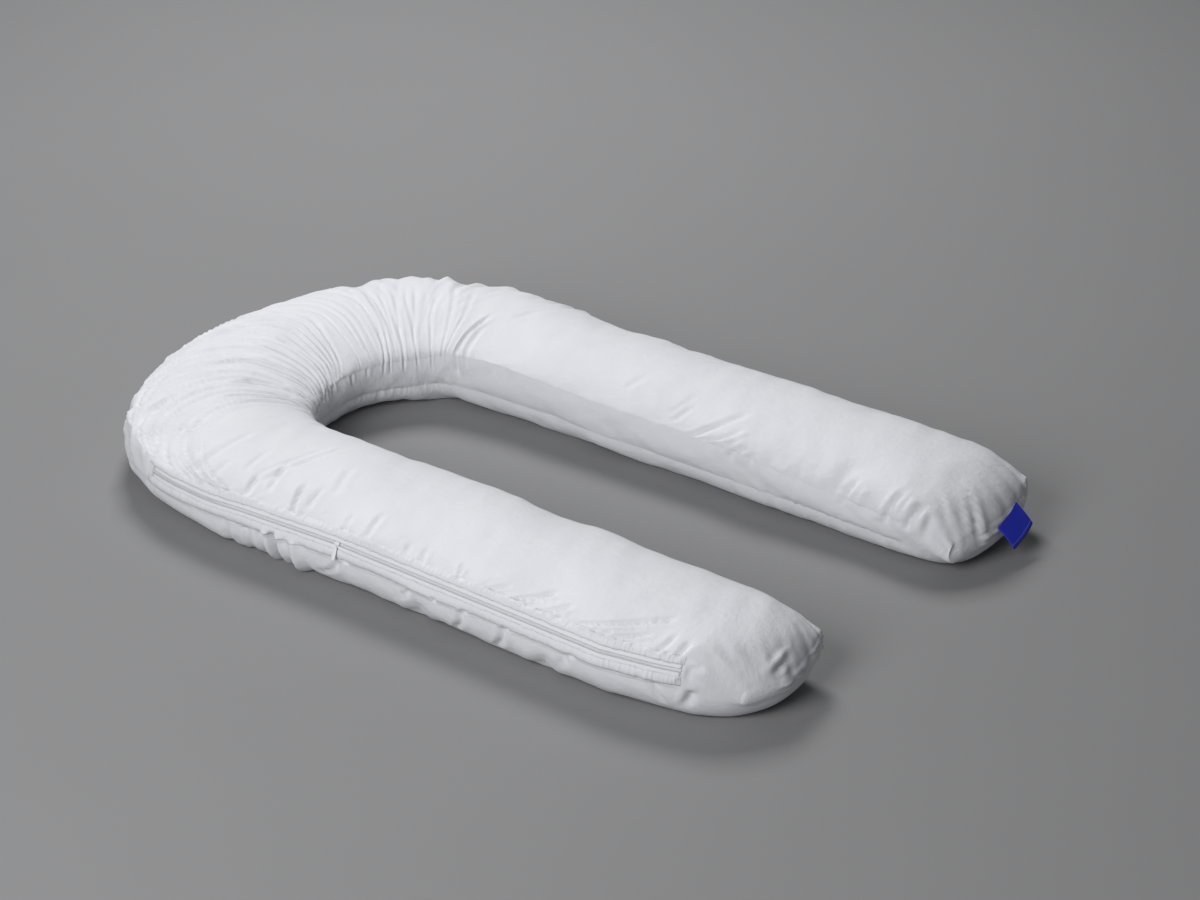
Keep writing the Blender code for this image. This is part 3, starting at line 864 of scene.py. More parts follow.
    def broad(self, place: Array, turn: Array) -> Array:
        """Return the height of the soft hollows and the unevenness at each point.

        Args:
            place: the points' places.
            turn: their turns.

        Returns:
            Their heights.
        """
        height = self.broad_noise.relief(place, turn)
        for fold in self.hollows:
            height += fold.relief(place, turn)
        return height * self.freedom(place, turn)

    def fine(self, place: Array, turn: Array) -> Array:
        """Return the height of the gathers, creases, puckers and seams at each point.

        Args:
            place: the points' places.
            turn: their turns.

        Returns:
            Their heights.
        """
        height = self.fine_noise.relief(place, turn)
        creases = [*self.creases, *(fold for fan in self.fans for fold in fan.folds())]
        for fold in (*creases, *self.gathers, *self.puckers):
            height += fold.relief(place, turn)
        for pleat in self.near_pleats:
            height += pleat.relief(place, turn)
        for pleat in self.far_pleats:
            height += pleat.relief(place.max() - place, turn)
        for seam in SEAM_TURNS:
            height -= self.seam_sink * np.exp(-((turn - seam) / self.seam_width) ** 2)
        start, stop = self.zip_clear
        along = come_and_go(place, start, stop, self.roll_ease)
        middle, width = self.roll_at
        height += self.zip_roll * along * np.exp(-((turn - middle) / width) ** 2)
        return height * self.freedom(place, turn)

    def freedom(self, place: Array, turn: Array) -> Array:
        """Return how free the cover is to rise, from 0 where it rests or backs the zip.

        Args:
            place: the points' places.
            turn: their turns.

        Returns:
            Their freedom, from 0 to 1.
        """
        floor, ease = self.rest_at
        resting = smooth_step((floor - np.abs(turn)) / ease)
        return resting * (1.0 - self.zip_bed(place, turn))

    def zip_bed(self, place: Array, turn: Array) -> Array:
        """Return how far each point lies in the strip that backs the zip, from 0 to 1.

        Args:
            place: the points' places.
            turn: their turns.

        Returns:
            Their shares.
        """
        start, stop = self.zip_clear
        (high, high_ease), (low, low_ease) = self.zip_edges
        band = smooth_step((turn - high) / high_ease) * smooth_step((low - turn) / low_ease)
        return band * come_and_go(place, start, stop, self.zip_ease)


NOISE_ENDS = (0.3, 0.7)        # most of a noise lies between these
WAVE_NODE_RATE = 20.0          # of the wave texture, in radians for each unit
THREAD_WANDER = 0.6
SHEEN_ROUGHNESS = 0.55
BUMP_STRENGTH = 0.5
# Noise scales, in waves for each metre each way.
TONE_WAVES = (9.0, 9.0, 9.0)
SHINE_WAVES = (30.0, 30.0, 30.0)
BROAD_CRUMPLE = (26.0, 60.0, 1.0)
FINE_CRUMPLE = (95.0, 70.0, 1.0)
NYLON_TONE_WAVES = (60.0, 60.0, 60.0)
NYLON_SHINE_WAVES = (200.0, 200.0, 200.0)
NYLON_GRAIN_WAVES = (900.0, 900.0, 1.0)


@dataclass
class NodeSheet:
    """A material's node tree, with short ways to add and link its nodes."""

    name: str
    material: bpy.types.Material = field(init=False)

    def __post_init__(self) -> None:
        """Make the material and keep its shader."""
        self.material = bpy.data.materials.new(self.name)
        self.material.use_nodes = True
        self.tree = self.material.node_tree
        self.shader = self.tree.nodes["Principled BSDF"]

    def add(self, kind: str, **values: object) -> bpy.types.Node:
        """Add a node and set its sockets or its properties.

        Args:
            kind: the node's type name, without its ShaderNode prefix.
            values: a value for each socket or property, with spaces as underscores.

        Returns:
            The new node.
        """
        node = self.tree.nodes.new("ShaderNode" + kind)
        for key, value in values.items():
            label = key.replace("_", " ")
            if label in node.inputs:
                node.inputs[label].default_value = value
            else:
                setattr(node, key, value)
        return node

    def link(self, source: Socket, target: Socket) -> None:
        """Join two sockets."""
        self.tree.links.new(source, target)

    def settings(self, **values: object) -> None:
        """Set values on the shader's own sockets, with spaces as underscores."""
        for key, value in values.items():
            self.shader.inputs[key.replace("_", " ")].default_value = value

    def mapped(self, scale: Triple) -> Socket:
        """Return the cloth's own coordinates, in metres, times a scale.

        Args:
            scale: the scale each way.

        Returns:
            The coordinates.
        """
        source = self.add("UVMap", uv_map="cloth")
        mapping = self.add("Mapping", Scale=scale)
        self.link(source.outputs["UV"], mapping.inputs["Vector"])
        return mapping.outputs["Vector"]

    def noise(self, scale: Triple, detail: float,
              roughness: float = 0.55) -> Socket:
        """Return a noise over the cloth, its scale in waves per metre each way.

        Args:
            scale: waves for each metre, each way.
            detail: octaves.
            roughness: how strong the fine octaves are.

        Returns:
            The noise.
        """
        node = self.add("TexNoise", Scale=1.0, Detail=detail, Roughness=roughness)
        self.link(self.mapped(scale), node.inputs["Vector"])
        return node.outputs["Fac"]

    def threads(self, pitch: float, along: bool) -> Socket:
        """Return parallel threads of a pitch, in metres.

        Args:
            pitch: from thread to thread.
            along: whether they are counted along the cloth, or else across it.

        Returns:
            The threads' height.
        """
        node = self.add("TexWave", Scale=1.0, Distortion=THREAD_WANDER, Detail=1.0)
        node.bands_direction = "X" if along else "Y"
        scale = 1.0 / pitch / WAVE_NODE_RATE * 2 * math.pi
        self.link(self.mapped((scale, scale, scale)), node.inputs["Vector"])
        return node.outputs["Fac"]

    def bump(self, height: Socket, distance: float, strength: float,
             before: Socket | None = None) -> Socket:
        """Add a bump after another and return its normal.

        Args:
            height: what is raised.
            distance: its full height.
            strength: its share that shows.
            before: the normal it builds on.

        Returns:
            The normal.
        """
        node = self.add("Bump", Strength=strength, Distance=distance)
        self.link(height, node.inputs["Height"])
        if before is not None:
            self.link(before, node.inputs["Normal"])
        return node.outputs["Normal"]

    def spread(self, fac: Socket, low: Colour, high: Colour,
               ends: Point = NOISE_ENDS) -> Socket:
        """Return a colour that runs from low to high as fac crosses its ends.

        Args:
            fac: the value.
            low: colour at its low end.
            high: colour at its high end.
            ends: the values at those two ends.

        Returns:
            The colour.
        """
        ramp = self.add("ValToRGB")
        ramp.color_ramp.elements[0].position = ends[0]
        ramp.color_ramp.elements[0].color = (*low, 1.0)
        ramp.color_ramp.elements[1].position = ends[1]
        ramp.color_ramp.elements[1].color = (*high, 1.0)
        self.link(fac, ramp.inputs["Fac"])
        return ramp.outputs["Color"]

    def remap(self, fac: Socket, low: float, high: float) -> Socket:
        """Return fac, over most of its noise, spread from low to high.

        Args:
            fac: the value.
            low: result at its low end.
            high: result at its high end.

        Returns:
            The result.
        """
        node = self.add("MapRange")
        for name, value in zip(("From Min", "From Max", "To Min", "To Max"),
                               (*NOISE_ENDS, low, high)):
            node.inputs[name].default_value = value
        self.link(fac, node.inputs["Value"])
        return node.outputs["Result"]

    def sum(self, first: Socket, second: Socket) -> Socket:
        """Return the sum of two values.

        Args:
            first: one value.
            second: the other.

        Returns:
            Their sum.
        """
        node = self.add("Math", operation="ADD")
        self.link(first, node.inputs[0])
        self.link(second, node.inputs[1])
        return node.outputs["Value"]


@dataclass(frozen=True)
class WovenFinish:
    """A woven cloth: its colours, its threads and how crumpled it is."""

    name: str
    light: Colour
    dark: Colour
    thread: float
    weave_depth: float
    crumple_depth: float
    roughness: Point
    sheen: float

    def build(self) -> bpy.types.Material:
        """Make the cloth's material.

        Returns:
            The material.
        """
        sheet = NodeSheet(self.name)
        sheet.settings(Metallic=0.0, Sheen_Weight=self.sheen,
                       Sheen_Roughness=SHEEN_ROUGHNESS)
        sheet.link(self.colour(sheet), sheet.shader.inputs["Base Color"])
        sheet.link(sheet.remap(sheet.noise(SHINE_WAVES, 2.0), *self.roughness),
                   sheet.shader.inputs["Roughness"])
        crumple = sheet.sum(sheet.noise(BROAD_CRUMPLE, 4.0), sheet.noise(FINE_CRUMPLE, 3.0))
        weave = sheet.sum(sheet.threads(self.thread, True),
                          sheet.threads(self.thread, False))
        normal = sheet.bump(crumple, self.crumple_depth, BUMP_STRENGTH)
        normal = sheet.bump(weave, self.weave_depth, BUMP_STRENGTH, normal)
        sheet.link(normal, sheet.shader.inputs["Normal"])
        return sheet.material

    def colour(self, sheet: NodeSheet) -> Socket:
        """Return the cloth's uneven colour."""
        return sheet.spread(sheet.noise(TONE_WAVES, 3.0), self.dark, self.light)


@dataclass(frozen=True)
class CoilFinish:
    """Satin nylon of the zip's coil."""

    name: str
    light: Colour
    dark: Colour
    sheen: float = 0.05
    roughness: Point = (0.40, 0.55)
    grain_depth: float = 0.0002
    grain_strength: float = 0.4

    def build(self) -> bpy.types.Material:
        """Make the coil's material.

        Returns:
            The material.
        """
        sheet = NodeSheet(self.name)
        sheet.settings(Metallic=0.0, Sheen_Weight=self.sheen)
        sheet.link(sheet.spread(sheet.noise(NYLON_TONE_WAVES, 2.0), self.dark, self.light),
                   sheet.shader.inputs["Base Color"])
        sheet.link(sheet.remap(sheet.noise(NYLON_SHINE_WAVES, 2.0), *self.roughness),
                   sheet.shader.inputs["Roughness"])
        normal = sheet.bump(sheet.noise(NYLON_GRAIN_WAVES, 2.0), self.grain_depth,
                            self.grain_strength)
        sheet.link(normal, sheet.shader.inputs["Normal"])
        return sheet.material


@dataclass(frozen=True)
class LinedFinish(WovenFinish):
    """A woven cloth with one line of another colour along it or across it."""

    # On the zip's tape this line is painted shade: the shadowed gap beside the coil. On the
    # label it is a woven line.
    line: Colour
    line_at: float            # in metres over the cloth
    line_half: float = 0.0006
    across: bool = True       # the line runs across the cloth's length

    def colour(self, sheet: NodeSheet) -> Socket:
        """Return the cloth's colour with the line on it.

        Args:
            sheet: the material's nodes.

        Returns:
            The colour.
        """
        ground = super().colour(sheet)
        split = sheet.add("SeparateXYZ")
        sheet.link(sheet.mapped((1.0, 1.0, 1.0)), split.inputs["Vector"])
        near = sheet.add("Math", operation="COMPARE")
        near.inputs[1].default_value = self.line_at
        near.inputs[2].default_value = self.line_half
        sheet.link(split.outputs["Y" if self.across else "X"], near.inputs[0])
        blend = sheet.add("Mix", data_type="RGBA")
        sheet.link(near.outputs["Value"], blend.inputs["Factor"])
        sheet.link(ground, blend.inputs["A"])
        blend.inputs["B"].default_value = (*self.line, 1.0)
        return blend.outputs["Result"]


COTTON = WovenFinish(
    "cover_cotton", light=(0.806, 0.812, 0.846), dark=(0.772, 0.778, 0.818), thread=0.0007,
    weave_depth=0.00010, crumple_depth=0.0020, roughness=(0.80, 0.92), sheen=0.10)
# The tape's grey line is painted shade, standing for the shadowed gap between the coil and
# the tape's inner edge.
ZIP_WEAVE = LinedFinish(
    "zip_tape", light=(0.830, 0.836, 0.868), dark=(0.795, 0.801, 0.836), thread=0.0011,
    weave_depth=0.00008, crumple_depth=0.0005, roughness=(0.74, 0.86), sheen=0.10,
    line=(0.50, 0.504, 0.53), line_at=0.0, across=False)
LABEL_WEAVE = LinedFinish(
    "label_weave", light=(0.013, 0.030, 0.600), dark=(0.009, 0.023, 0.465), thread=0.0009,
    weave_depth=0.00012, crumple_depth=0.0004, roughness=(0.62, 0.78), sheen=0.0,
    line=(0.11, 0.16, 0.55), line_at=0.0385)
COIL = CoilFinish("zip_coil", light=(0.840, 0.846, 0.876), dark=(0.810, 0.816, 0.846))
SLIDER = CoilFinish("zip_slider", light=(0.860, 0.865, 0.890), dark=(0.835, 0.840, 0.866))
THREAD = CoilFinish("sewing_thread", light=(0.84, 0.845, 0.875), dark=(0.80, 0.805, 0.835))


@dataclass
class PieceMaker:
    """Makes a mesh piece, dresses it and hangs it on the CAD frame."""

    body: str = BODY

    def make(self, name: str, points: Array, faces: Faces,
             uvs: Array, material: bpy.types.Material) -> Piece:
        """Make a smooth mesh object.

        Args:
            name: the piece's name.
            points: its vertices, in the plain U's own frame.
            faces: its faces, as vertex numbers.
            uvs: a coordinate in metres for each corner of each face, in order.
            material: its finish.

        Returns:
            The new object, linked to the scene.
        """
        mesh = bpy.data.meshes.new(name)
        placed = points - np.array((*CENTRE_SHIFT, 0.0))
        mesh.from_pydata(placed.tolist(), [], faces)
        layer = mesh.uv_layers.new(name="cloth")
        layer.data.foreach_set("uv", np.asarray(uvs, dtype=np.float32).ravel())
        mesh.shade_smooth()
        mesh.materials.append(material)
        item = bpy.data.objects.new(name, mesh)
        bpy.context.scene.collection.objects.link(item)
        return item

    def hang(self, item: Piece, slot: str, *nodes: str) -> Piece:
        """Let a piece ride on the body and stand for CAD nodes.

        Args:
            item: the piece.
            slot: its material slot; not used.
            nodes: the CAD nodes it stands for, if any.

        Returns:
            The same piece.
        """
        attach(item, self.body)
        if nodes:
            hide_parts(*nodes)
        LOGGER.info("%s: %d faces", item.name, len(item.data.polygons))
        return item


@dataclass(frozen=True)
class Settling:
    """Cloth simulation in which the filled cover finds its own shape.

    It runs on a thinned grid of the cover: pressure swells it while its seams, its resting
    underside and the zip's bed hold it.
    """

    thin: int = 2             # every how many rows and columns are simulated
    frames: int = 16
    quality: int = 4
    mass: float = 0.15
    stiffness: float = 40.0
    shear: float = 5.0
    bending: float = 0.02
    pressure: float = 2.0
    growth: float = 0.20      # how much wider the cloth is cut than its form
    cap: float = 0.019        # the furthest that a point may move
    body_hold: float = 0.012
    seam_hold: float = 0.35
    end_hold: float = 0.60
    pin: float = 0.5
    faint: float = 0.05       # a weight under this keeps three decimals, and not two
    smoothings: int = 2       # of the moves, once they are spread over the full grid
    gathered: Line = ((0.0, 0.3), (1.05, 0.3), (1.38, 1.0), (1.60, 0.8),
                                   (1.90, 0.6), (2.30, 0.3), (3.04, 0.3))

    def run(self, grid: Array, hold: Array, places: Array) -> Array:
        """Settle a grid of rings.

        Args:
            grid: rings of points, each ring closed on itself.
            hold: how firmly each point is held, from 0 to 1.
            places: the place of each ring.

        Returns:
            How far each point moves.
        """
        count = len(grid)
        rows = np.unique(np.append(np.arange(0, count, self.thin), count - 1))
        columns = np.arange(0, grid.shape[1], self.thin)
        small = grid[np.ix_(rows, columns)]
        item = self.net(small)
        grown = np.interp(places[rows], *zip(*self.gathered))[:, None]
        grown = np.repeat(grown, len(columns), axis=1)
        self.weigh(item, "hold", hold[np.ix_(rows, columns)])
        self.weigh(item, "growth", grown)
        self.cloth(item)
        moved = self.play(item).reshape(small.shape) - small
        bpy.data.objects.remove(item)
        length = np.linalg.norm(moved, axis=2)
        LOGGER.info("settled: mean %.1f mm, most %.1f mm",
                    1000 * length.mean(), 1000 * length.max())
        moved *= np.minimum(1.0, self.cap / np.maximum(length, 1e-9))[:, :, None]
        return self.refine(moved, rows, columns, grid.shape)

    def net(self, small: Array) -> Piece:
        """Make the thinned grid as a tube of quads.

        Args:
            small: the thinned rings.

        Returns:
            The net.
        """
        count, around = small.shape[:2]
        faces = [(i * around + j, (i + 1) * around + j,
                  (i + 1) * around + (j + 1) % around, i * around + (j + 1) % around)
                 for i in range(count - 1) for j in range(around)]
        mesh = bpy.data.meshes.new("settling_net")
        mesh.from_pydata(small.reshape(-1, 3).tolist(), [], faces)
        item = bpy.data.objects.new("settling_net", mesh)
        bpy.context.scene.collection.objects.link(item)
        return item

    def weigh(self, item: Piece, name: str, weights: Array) -> None:
        """Give the net a vertex group with a weight for each point.

        Args:
            item: the net.
            name: the group's name.
            weights: from 0 to 1.
        """
        group = item.vertex_groups.new(name=name)
        rounded = np.round(weights.ravel(), 2)
        faint = weights.ravel() < self.faint
        rounded = np.where(faint, np.round(weights.ravel(), 3), rounded)
        for value in np.unique(rounded):
            group.add(np.flatnonzero(rounded == value).tolist(), float(value), "REPLACE")

    def cloth(self, item: Piece) -> None:
        """Add the cloth modifier with its settings.

        Args:
            item: the net.
        """
        modifier = item.modifiers.new("settling", "CLOTH")
        cloth = modifier.settings
        cloth.quality = self.quality
        cloth.mass = self.mass
        cloth.tension_stiffness = self.stiffness
        cloth.compression_stiffness = self.stiffness
        cloth.shear_stiffness = self.shear
        cloth.bending_stiffness = self.bending
        cloth.vertex_group_mass = "hold"
        cloth.pin_stiffness = self.pin
        cloth.vertex_group_shrink = "growth"
        cloth.shrink_min = 0.0
        cloth.shrink_max = -self.growth
        cloth.use_pressure = True
        cloth.uniform_pressure_force = self.pressure
        cloth.effector_weights.gravity = 0.0
        modifier.collision_settings.use_collision = False
        modifier.point_cache.frame_start = 1
        modifier.point_cache.frame_end = self.frames

    def play(self, item: Piece) -> Array:
        """Step through the frames and return the settled points.

        Args:
            item: the net.

        Returns:
            Its settled points.
        """
        scene = bpy.context.scene
        for number in range(1, self.frames + 1):
            scene.frame_set(number)
        settled = item.evaluated_get(bpy.context.evaluated_depsgraph_get())
        points = np.zeros(3 * len(item.data.vertices), np.float32)
        settled.data.vertices.foreach_get("co", points)
        scene.frame_set(1)
        return points.reshape(-1, 3).astype(float)

    def refine(self, moved: Array, rows: Array, columns: Array,
               shape: tuple[int, ...]) -> Array:
        """Spread the thinned grid's moves over the full grid, smoothly.

        Args:
            moved: how far each thinned point moves.
            rows: the rings it kept.
            columns: the columns it kept.
            shape: the full grid's shape.

        Returns:
            How far each point of the full grid moves.
        """
        count, around = shape[:2]
        looped = np.concatenate((moved, moved[:, :1]), axis=1)
        knots = np.append(columns, around)
        wide = np.stack([[np.interp(np.arange(around), knots, line[:, axis])
                          for line in looped] for axis in range(3)], axis=-1)
        full = np.stack([np.stack([
            np.interp(np.arange(count), rows, wide[:, column, axis])
            for column in range(around)], axis=1) for axis in range(3)], axis=-1)
        for _ in range(self.smoothings):
            full = (np.roll(full, 1, axis=1) + 2 * full + np.roll(full, -1, axis=1)) / 4
            full[1:-1] = (full[:-2] + 2 * full[1:-1] + full[2:]) / 4
        return full


@dataclass
class Cover:
    """The filled cotton cover: its top, side strip, underside and closed ends."""

    form: PillowForm
    drape: Drape
    settling: Settling
    maker: PieceMaker
    steps: Line = ((0.0, 0.0044), (1.06, 0.0028), (1.74, 0.0034),
                                (2.12, 0.0056))  # rows this far apart from each place on
    top_count: int = 49
    strip_count: int = 9
    curl_count: int = 14
    end_rows: int = 36
    end_slant: float = 0.30   # angle from an end's last row to where the arm begins
    end_softening: int = 14   # times the rings nearest an arm's end are smoothed
    corner_reach: float = 0.080
    corner_passes: tuple[int, int] = (24, 8)  # at the near outer and the far inner corner
    soften_from: Point = (0.25, 0.5)   # how far into an end that begins, and its ease
    soften_until: Point = (2.9, 0.3)   # the turn where it stops, and its ease
    corner_pull: float = 0.7
    corner_lift: float = 0.010         # below this height it fades out
    wall_crumple: float = 0.0030
    wall_waves: Triple = (0.75, 0.36, 0.20)
    wall_shear: float = 2.0
    wall_blend: float = 0.8            # share of a row that leans to the side edges' shape
    wall_square: int = 6
    wall_cloth: Point = (4.0, 0.006)   # its cloth coordinates' start and step
    rest_grip: Point = (2.4, 0.3)      # turn where the underside is held, and its ease
    seam_band: float = 0.08
    zip_grip: Point = (0.95, 2.0)
    zip_margin: float = 0.01
    end_grip: Point = (0.85, 0.1)      # how far into an end it is held, and its ease
    crisp_until: float = 0.3           # how far into an end the seams stay crisp
    fill: float = 0.8
    grid: Array = field(init=False)
    plain: Array = field(init=False)
    turns: Array = field(init=False)
    places: Array = field(init=False)

    def station_places(self) -> Array:
        """Places of every ring, from one end to the other.

        Returns:
            The places.
        """
        closing = np.sin(np.linspace(math.pi / 2, self.end_slant, self.end_rows))
        end = self.form.end_zone * (1.0 - closing)
        middle = []
        place = float(end[-1])
        starts, steps = zip(*self.steps)
        while place < self.form.total - end[-1] - steps[-1] * 1.5:
            place += steps[int(np.searchsorted(starts, place, side="right")) - 1]
            middle.append(place)
        return np.concatenate((end, middle, self.form.total - end[::-1]))

    def under_shares(self) -> Array:
        """Shares of the half width across the underside, from the outside inwards.

        Returns:
            The shares.
        """
        flat = self.form.flat_share
        angle = np.linspace(math.pi / 2, 0.0, self.curl_count)
        curl = flat + (1.0 - flat) * np.sin(angle)
        middle = self.top_count - 2 * self.curl_count
        inside = np.linspace(flat, -flat, middle + 2)[1:-1]
        return np.concatenate((curl, inside, -curl[::-1]))

    def lay_out(self) -> None:
        """Work out the plain form's rings and the turn of each of their points."""
        self.places = self.station_places()
        tops = np.linspace(-1.0, 1.0, self.top_count)
        strips = np.linspace(1.0, 2.0, self.strip_count + 2)[1:-1]
        whole = np.ones(len(self.places))
        columns = [self.form.top(self.places, whole * turn) for turn in tops]
        columns += [self.form.strip(self.places, 1, whole * (2.0 - turn))
                    for turn in strips]
        unders = self.under_shares()
        columns += [self.form.under(self.places, whole * across) for across in unders]
        columns += [self.form.strip(self.places, -1, whole * (2.0 - turn))
                    for turn in strips[::-1]]
        curl = np.minimum((1.0 - np.abs(unders)) / (1.0 - self.form.flat_share), 1.0)
        under_turns = np.copysign(2.0 + curl, unders)
        self.plain = np.stack(columns, axis=1)
        self.turns = np.concatenate((tops, strips, under_turns, -strips[::-1]))

    def outward(self, grid: Array) -> Array:
        """Return the outward direction at each point of a grid of rings.

        Args:
            grid: rings of points.

        Returns:
            Unit directions.
        """
        along = np.gradient(grid, axis=0)
        around = np.roll(grid, -1, axis=1) - np.roll(grid, 1, axis=1)
        normals = np.cross(along, around)
        return normals / np.maximum(np.linalg.norm(normals, axis=2), 1e-12)[:, :, None]

    def hold(self, place: Array, turn: Array) -> Array:
        """Return how firmly each point is held while the cover settles.

        Args:
            place: the points' places.
            turn: their turns.

        Returns:
            Their hold, from 0 to 1.
        """
        soft = self.settling
        resting, ease = self.rest_grip
        held = soft.body_hold + smooth_step((np.abs(turn) - resting) / ease)
        for seam in SEAM_TURNS:
            near = np.exp(-((turn - seam) / self.seam_band) ** 2)
            held = np.maximum(held, soft.seam_hold * near)
        start, stop = self.drape.zip_clear
        beside = (turn > self.zip_grip[0]) & (turn < self.zip_grip[1])
        beside &= (place > start - self.zip_margin) & (place < stop + self.zip_margin)
        held = np.where(beside, 1.0, held)
        inside, ease = self.end_grip
        ends = smooth_step((self.form.closing(place) - inside) / ease)
        return np.clip(np.maximum(held, soft.end_hold * ends), 0.0, 1.0)

    def raise_folds(self) -> None:
        """Lay the broad relief on the plain form, let it settle, then add the fine one."""
        place, turn = np.broadcast_arrays(self.places[:, None], self.turns[None])
        place, turn = place.copy(), turn.copy()
        rise = self.drape.broad(place, turn)[:, :, None]
        grid = self.plain + self.outward(self.plain) * rise
        moved = self.settling.run(grid, self.hold(place, turn), self.places)
        grid = grid + moved * self.drape.freedom(place, turn)[:, :, None]
        rise = self.drape.fine(place, turn)[:, :, None]
        grid = self.soften_ends(grid)
        self.grid = grid + self.outward(grid) * rise
        self.grid[:, :, 2] = np.maximum(self.grid[:, :, 2], 0.0)

    def soften_ends(self, grid: Array) -> Array:
        """Round the side strip's edges off where an arm closes to its end.

        Args:
            grid: rings of points.

        Returns:
            The softened rings.
        """
        begin, ease = self.soften_from
        near = smooth_step((self.form.closing(self.places) - begin) / ease)[:, None, None]
        until, ease = self.soften_until
        free = smooth_step((until - np.abs(self.turns)) / ease)[None, :, None]
        for _ in range(self.end_softening):
            mean = (np.roll(grid, 1, axis=1) + np.roll(grid, -1, axis=1)) / 2
            grid = grid + (mean - grid) * near * free / 2
        return grid

    def wall(self, ring: Array, outward: float, seed: int) -> Array:
        """Return the rows between an end's upper and lower seams, swelling and crumpled.

        Args:
            ring: the cover's ring at that end.
            outward: which way along Y the arm's outer side lies, 1 or -1.
            seed: of its crumpling.

        Returns:
            The rows, from the upper seam down.
        """
        first = self.top_count + self.strip_count
        top = ring[:self.top_count]
        bottom = ring[first:first + self.top_count][::-1]
        outer = ring[self.top_count:first]
        inner = ring[first + self.top_count:][::-1]
        dice = np.random.default_rng(seed)
        column = np.linspace(-1.0, 1.0, self.top_count)
        corner = np.abs(column) ** 3 * np.sign(column) * math.pi / 2
        facing = np.column_stack((np.cos(corner), outward * np.sin(corner)))
        rows = []
        for index in range(self.strip_count):
            share = 1.0 - (index + 1) / (self.strip_count + 1)
            row = bottom + (top - bottom) * share
            bulge = 4.0 * share * (1.0 - share)
            swell = np.full(self.top_count, self.form.strip_bulge * bulge)
            for pitch in self.wall_waves:
                phase = dice.uniform(0, 6)
                phase = phase + share * dice.uniform(-self.wall_shear, self.wall_shear)
                wave = np.sin(2 * math.pi * column / pitch + phase) * np.cos(corner)
                swell += self.wall_crumple * bulge * pitch * wave
            lean = column / self.wall_blend
            row += smooth_step(lean)[:, None] * (outer[index] - row[-1])
            row += smooth_step(-lean)[:, None] * (inner[index] - row[0])
            inside = 1.0 - np.abs(column) ** self.wall_square
            row[:, :2] += facing * (swell * inside)[:, None]
            row[0], row[-1] = inner[index], outer[index]
            rows.append(row)
        return np.array(rows)

    def wall_numbers(self, start: int, base: int) -> list[list[int]]:
        """Number the vertices of an end's rows, seams and side edges included.

        Args:
            start: number of the ring's first vertex.
            base: number of the wall's first vertex.

        Returns:
            Vertex numbers, row by row.
        """
        first = self.top_count + self.strip_count
        last = first + self.top_count
        rows = [list(range(start, start + self.top_count))]
        inside = self.top_count - 2
        for index in range(self.strip_count):
            inner = start + last + self.strip_count - 1 - index
            outer = start + self.top_count + index
            row = range(base + index * inside, base + (index + 1) * inside)
            rows.append([inner, *row, outer])
        rows.append(list(range(start + first, start + last))[::-1])
        return rows

    def build(self) -> Piece:
        """Build the cover as one closed mesh and hang it on the frame.

        Returns:
            The piece.
        """
        self.lay_out()
        self.raise_folds()
        count, around = self.grid.shape[:2]
        points = [self.grid.reshape(-1, 3)]
        girth = np.linalg.norm(np.diff(self.plain, axis=1, append=self.plain[:, :1]), axis=2)
        across = np.concatenate((np.zeros((count, 1)), np.cumsum(girth, axis=1)), axis=1)
        faces: Faces = []
        uvs: list[Point] = []
        for i in range(count - 1):
            for j in range(around):
                after = (j + 1) % around
                faces.append((i * around + j, (i + 1) * around + j,
                              (i + 1) * around + after, i * around + after))
                uvs += [(self.places[i], across[i, j]),
                        (self.places[i + 1], across[i + 1, j]),
                        (self.places[i + 1], across[i + 1, j + 1]),
                        (self.places[i], across[i, j + 1])]
        base = count * around
        first, step = self.wall_cloth
        for end, ring in enumerate((0, count - 1)):
            wall = self.wall(self.grid[ring], 1.0 if end else -1.0, 51 + end)
            rows = self.wall_numbers(ring * around, base)
            points.append(wall[:, 1:-1].reshape(-1, 3))
            base += wall[:, 1:-1].shape[0] * wall[:, 1:-1].shape[1]
            for r, (upper, lower) in enumerate(zip(rows, rows[1:])):
                for c in range(self.top_count - 1):
                    face = [upper[c], upper[c + 1], lower[c + 1], lower[c]]
                    corners = [(c, r), (c + 1, r), (c + 1, r + 1), (c, r + 1)]
                    if end:
                        face, corners = face[::-1], corners[::-1]
                    faces.append(tuple(face))
                    uvs += [(first + a * step, b * step) for a, b in corners]
        joined = self.round_corners(np.vstack(points), np.array(faces))
        item = self.maker.make(COVER_PIECE, joined, faces, np.array(uvs),
                               COTTON.build())
        self.mark_seams(item.data, around)
        self.maker.hang(item, "cover_cotton", "pillow")
        return item

    def round_corners(self, points: Array, faces: Array) -> Array:
        """Smooth the cover over the two corners where no seam shows.

        Args:
            points: the cover's points.
            faces: its quads.

        Returns:
            The smoothed points.
        """
        around = self.grid.shape[1]
        outer = self.top_count + self.strip_count // 2
        corners = (outer, len(self.grid) * around - 1 - self.strip_count // 2)
        for corner, passes in zip(corners, self.corner_passes):
            near = np.linalg.norm(points - points[corner], axis=1) / self.corner_reach
            weight = smooth_step(2.0 - 2.0 * near) * smooth_step(
                points[:, 2] / self.corner_lift)
            close = faces[(weight[faces] > 0.0).any(axis=1)]
            edges = np.vstack([close[:, [k, (k + 1) % 4]] for k in range(4)])
            edges = np.unique(np.sort(edges, axis=1), axis=0)
            count = np.bincount(edges.ravel(), minlength=len(points))[:, None]
            for _ in range(passes):
                total = np.zeros_like(points)
                np.add.at(total, edges[:, 0], points[edges[:, 1]])
                np.add.at(total, edges[:, 1], points[edges[:, 0]])
                mean = np.where(count > 0, total / np.maximum(count, 1), points)
                points = points + (mean - points) * weight[:, None] * self.corner_pull
        return points

